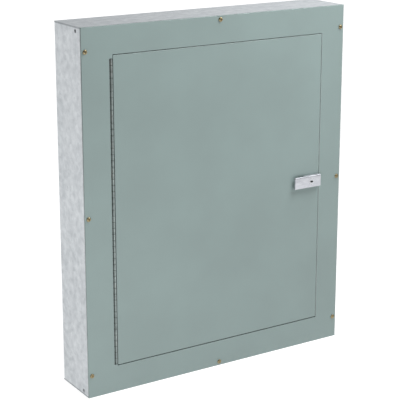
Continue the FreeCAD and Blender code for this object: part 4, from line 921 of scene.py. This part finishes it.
def add_leg(bm, edge, side, height, board):
    """One gull-wing leg: out of the case, down, and a foot on the board."""
    width = 0.2 * MM
    sheet = 0.2 * MM
    low = height - width
    high = height + width
    rows = []
    for along, up in LEG_BENDS:
        x = edge + side * along * MM
        y = board - up * MM
        corners = ((x, y, low), (x, y, high), (x, y + sheet, high), (x, y + sheet, low))
        rows.append([bm.verts.new(corner) for corner in corners])
    add_skin(bm, rows)


def add_capacitors():
    """Capacitors with a rolled neck, a rounded rim and a shallow recess in the top."""
    bm = bmesh.new()
    for low, high in islands("board_capacitors"):
        radius = (high.x - low.x) / 2
        tall = high.y - low.y
        rim = radius * 0.12
        profile = [
            (0, 0), (radius, 0),
            (radius, tall * 0.1), (radius - rim, tall * 0.14), (radius, tall * 0.18),
            (radius, tall - rim), (radius - rim, tall),
            (radius * 0.78, tall), (radius * 0.74, tall - rim / 2), (0, tall - rim / 2),
        ]
        middle = (low + high) / 2
        add_turned(bm, profile, outward(middle.x, high.y, middle.z), 40)
    finish_piece("capacitor_cans", bm, "cabinet", "capacitor_sleeve", ["board_capacitors"], 30)


def add_rounded_boxes(name, node, slot, radius):
    """Boxes of a CAD node with moulded edges."""
    bm = bmesh.new()
    for low, high in islands(node):
        add_block(bm, low, high, radius, 3)
    finish_piece(name, bm, "cabinet", slot, [node])


def add_surface_parts():
    """Small surface-mounted resistors and capacitors in the free parts of the main board."""
    low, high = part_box("main_circuit_board")
    taken = []
    for node in SURFACE_PART_NEIGHBOURS:
        taken += islands(node)
    draw = random.Random(SURFACE_PART_SEED)
    bodies = bmesh.new()
    caps = bmesh.new()
    margin = 3 * MM
    side_margin = 8 * MM
    bottom_margin = 22 * MM
    top_margin = 8 * MM
    width = high.x - low.x - 2 * side_margin
    height = high.z - low.z - (bottom_margin + top_margin)
    grid = SURFACE_PART_GRID
    apart_x = 3.6 * MM
    apart_z = 2.2 * MM
    spots = []
    for _ in range(SURFACE_PART_TRIES):
        x = low.x + side_margin + round(draw.uniform(0, width) / grid) * grid
        z = low.z + bottom_margin + round(draw.uniform(0, height) / grid) * grid
        clear_of_parts = all(
            x < a.x - margin or x > b.x + margin or z < a.z - margin or z > b.z + margin for a, b in taken
        )
        if clear_of_parts and all(abs(x - u) > apart_x or abs(z - w) > apart_z for u, w in spots):
            spots.append((x, z))
    tall = 0.55 * MM
    half = 0.6 * MM
    rounding = 0.08 * MM
    body_half = 0.7 * MM
    end_inner = 0.65 * MM
    end_outer = 1.05 * MM
    end_raised = 0.05 * MM
    for x, z in spots:
        top = low.y - tall
        bottom_z = z - half
        top_z = z + half
        add_block(bodies, (x - body_half, top, bottom_z), (x + body_half, low.y, top_z), rounding, 1)
        for side in (-1, 1):
            left, right = sorted((x + side * end_inner, x + side * end_outer))
            add_block(caps, (left, top - end_raised, bottom_z), (right, low.y, top_z), rounding, 1)
    finish_piece("surface_parts", bodies, "cabinet", "chip_plastic")
    finish_piece("surface_part_ends", caps, "cabinet", "plated_steel")


def add_equipment_details():
    """Finer meshes for the equipment that shows when the door is open."""
    add_chips()
    add_capacitors()
    add_rounded_boxes("relay_covers", "board_relays", "relay_plastic", 0.8 * MM)
    add_rounded_boxes("key_switch_cases", "key_switches", "black_plastic", 0.6 * MM)
    add_surface_parts()


# ---------------------------------------------------------------- surroundings

def pale_floor():
    """Matt pale studio floor with a barely visible tooth and an even glow of its own."""
    look = Look("pale_floor", emission_strength=FLOOR_GLOW, emission_color=(1, 1, 1, 1))
    tooth = look.noise(30, 4.0)
    colour = look.mix(look.between(tooth, 0.3, 0.7, 0, 1), FLOOR_DARK, FLOOR_LIGHT)
    return look.done(colour, look.between(tooth, 0.3, 0.7, 0.8, 0.9))


def add_floor():
    """Floor just under the panel, so that their faces don't lie in one plane."""
    mesh = bpy.data.meshes.new("floor")
    level = cad_box[0].z - FLOOR_CLEARANCE
    corners = [(x * FLOOR_HALF, y * FLOOR_HALF, level) for x, y in ((-1, -1), (1, -1), (1, 1), (-1, 1))]
    mesh.from_pydata(corners, [], [(0, 1, 2, 3)])
    floor = bpy.data.objects.new("floor", mesh)
    floor.data.materials.append(pale_floor())
    bpy.context.scene.collection.objects.link(floor)


def add_light(name, azimuth, elevation, distance, size, power):
    """Square soft box that faces the panel's middle."""
    data = bpy.data.lights.new(name, "AREA")
    data.shape = "SQUARE"
    data.size = size
    data.energy = power
    light = bpy.data.objects.new(name, data)
    turn = math.radians(azimuth)
    lift = math.radians(elevation)
    away = Vector((math.sin(turn) * math.cos(lift), -math.cos(turn) * math.cos(lift), math.sin(lift)))
    light.location = away * distance
    light.rotation_euler = away.to_track_quat("Z", "Y").to_euler()
    light.visible_camera = False
    bpy.context.scene.collection.objects.link(light)


def add_backdrop_light():
    """Wide box above the floor behind the panel, which keeps the floor pale as far as it is seen."""
    data = bpy.data.lights.new("backdrop_light", "AREA")
    data.shape = "SQUARE"
    data.size = BACKDROP_SIZE
    data.energy = BACKDROP_POWER
    data.spread = BACKDROP_SPREAD
    light = bpy.data.objects.new("backdrop_light", data)
    light.location = BACKDROP_PLACE
    light.visible_camera = False
    bpy.context.scene.collection.objects.link(light)


def add_lights():
    """White sky, the soft boxes and the backdrop's box."""
    world = bpy.data.worlds.new("studio")
    world.use_nodes = True
    nodes = world.node_tree.nodes
    seen = nodes.new("ShaderNodeLightPath").outputs["Is Camera Ray"]
    strength = nodes.new("ShaderNodeMapRange")
    strength.inputs["To Min"].default_value = SKY_LIGHT
    strength.inputs["To Max"].default_value = SKY_SEEN
    world.node_tree.links.new(seen, strength.inputs["Value"])
    nodes["Background"].inputs["Color"].default_value = (1, 1, 1, 1)
    world.node_tree.links.new(strength.outputs["Result"], nodes["Background"].inputs["Strength"])
    bpy.context.scene.world = world
    for values in LIGHTS:
        add_light(*values)
    add_backdrop_light()


def add_camera():
    """Camera at the photographed angle, its axes worked out from azimuth and elevation."""
    turn = CAMERA_AZIMUTH
    lift = CAMERA_ELEVATION
    right = Vector((math.cos(turn), math.sin(turn), 0))
    back = Vector((math.sin(turn) * math.cos(lift), -math.cos(turn) * math.cos(lift), math.sin(lift)))
    up = back.cross(right)
    target = Vector((0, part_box("trim_frame")[0].y, 0))
    data = bpy.data.cameras.new("camera")
    data.lens = CAMERA_LENS
    data.sensor_width = SENSOR
    data.shift_y = CAMERA_SHIFT
    camera = bpy.data.objects.new("camera", data)
    camera.matrix_world = Matrix((right, up, back)).transposed().to_4x4()
    camera.location = target - right * CAMERA_LEFT + up * CAMERA_RAISED + back * CAMERA_DISTANCE
    bpy.context.scene.collection.objects.link(camera)
    bpy.context.scene.camera = camera


materials = {maker.__name__: maker() for maker in SLOT_LOOKS}
dress_frame(materials)
add_screws()
add_pull()
add_record_card()
add_equipment_details()
add_floor()
add_lights()
add_camera()
bpy.context.scene.view_settings.view_transform = "Standard"
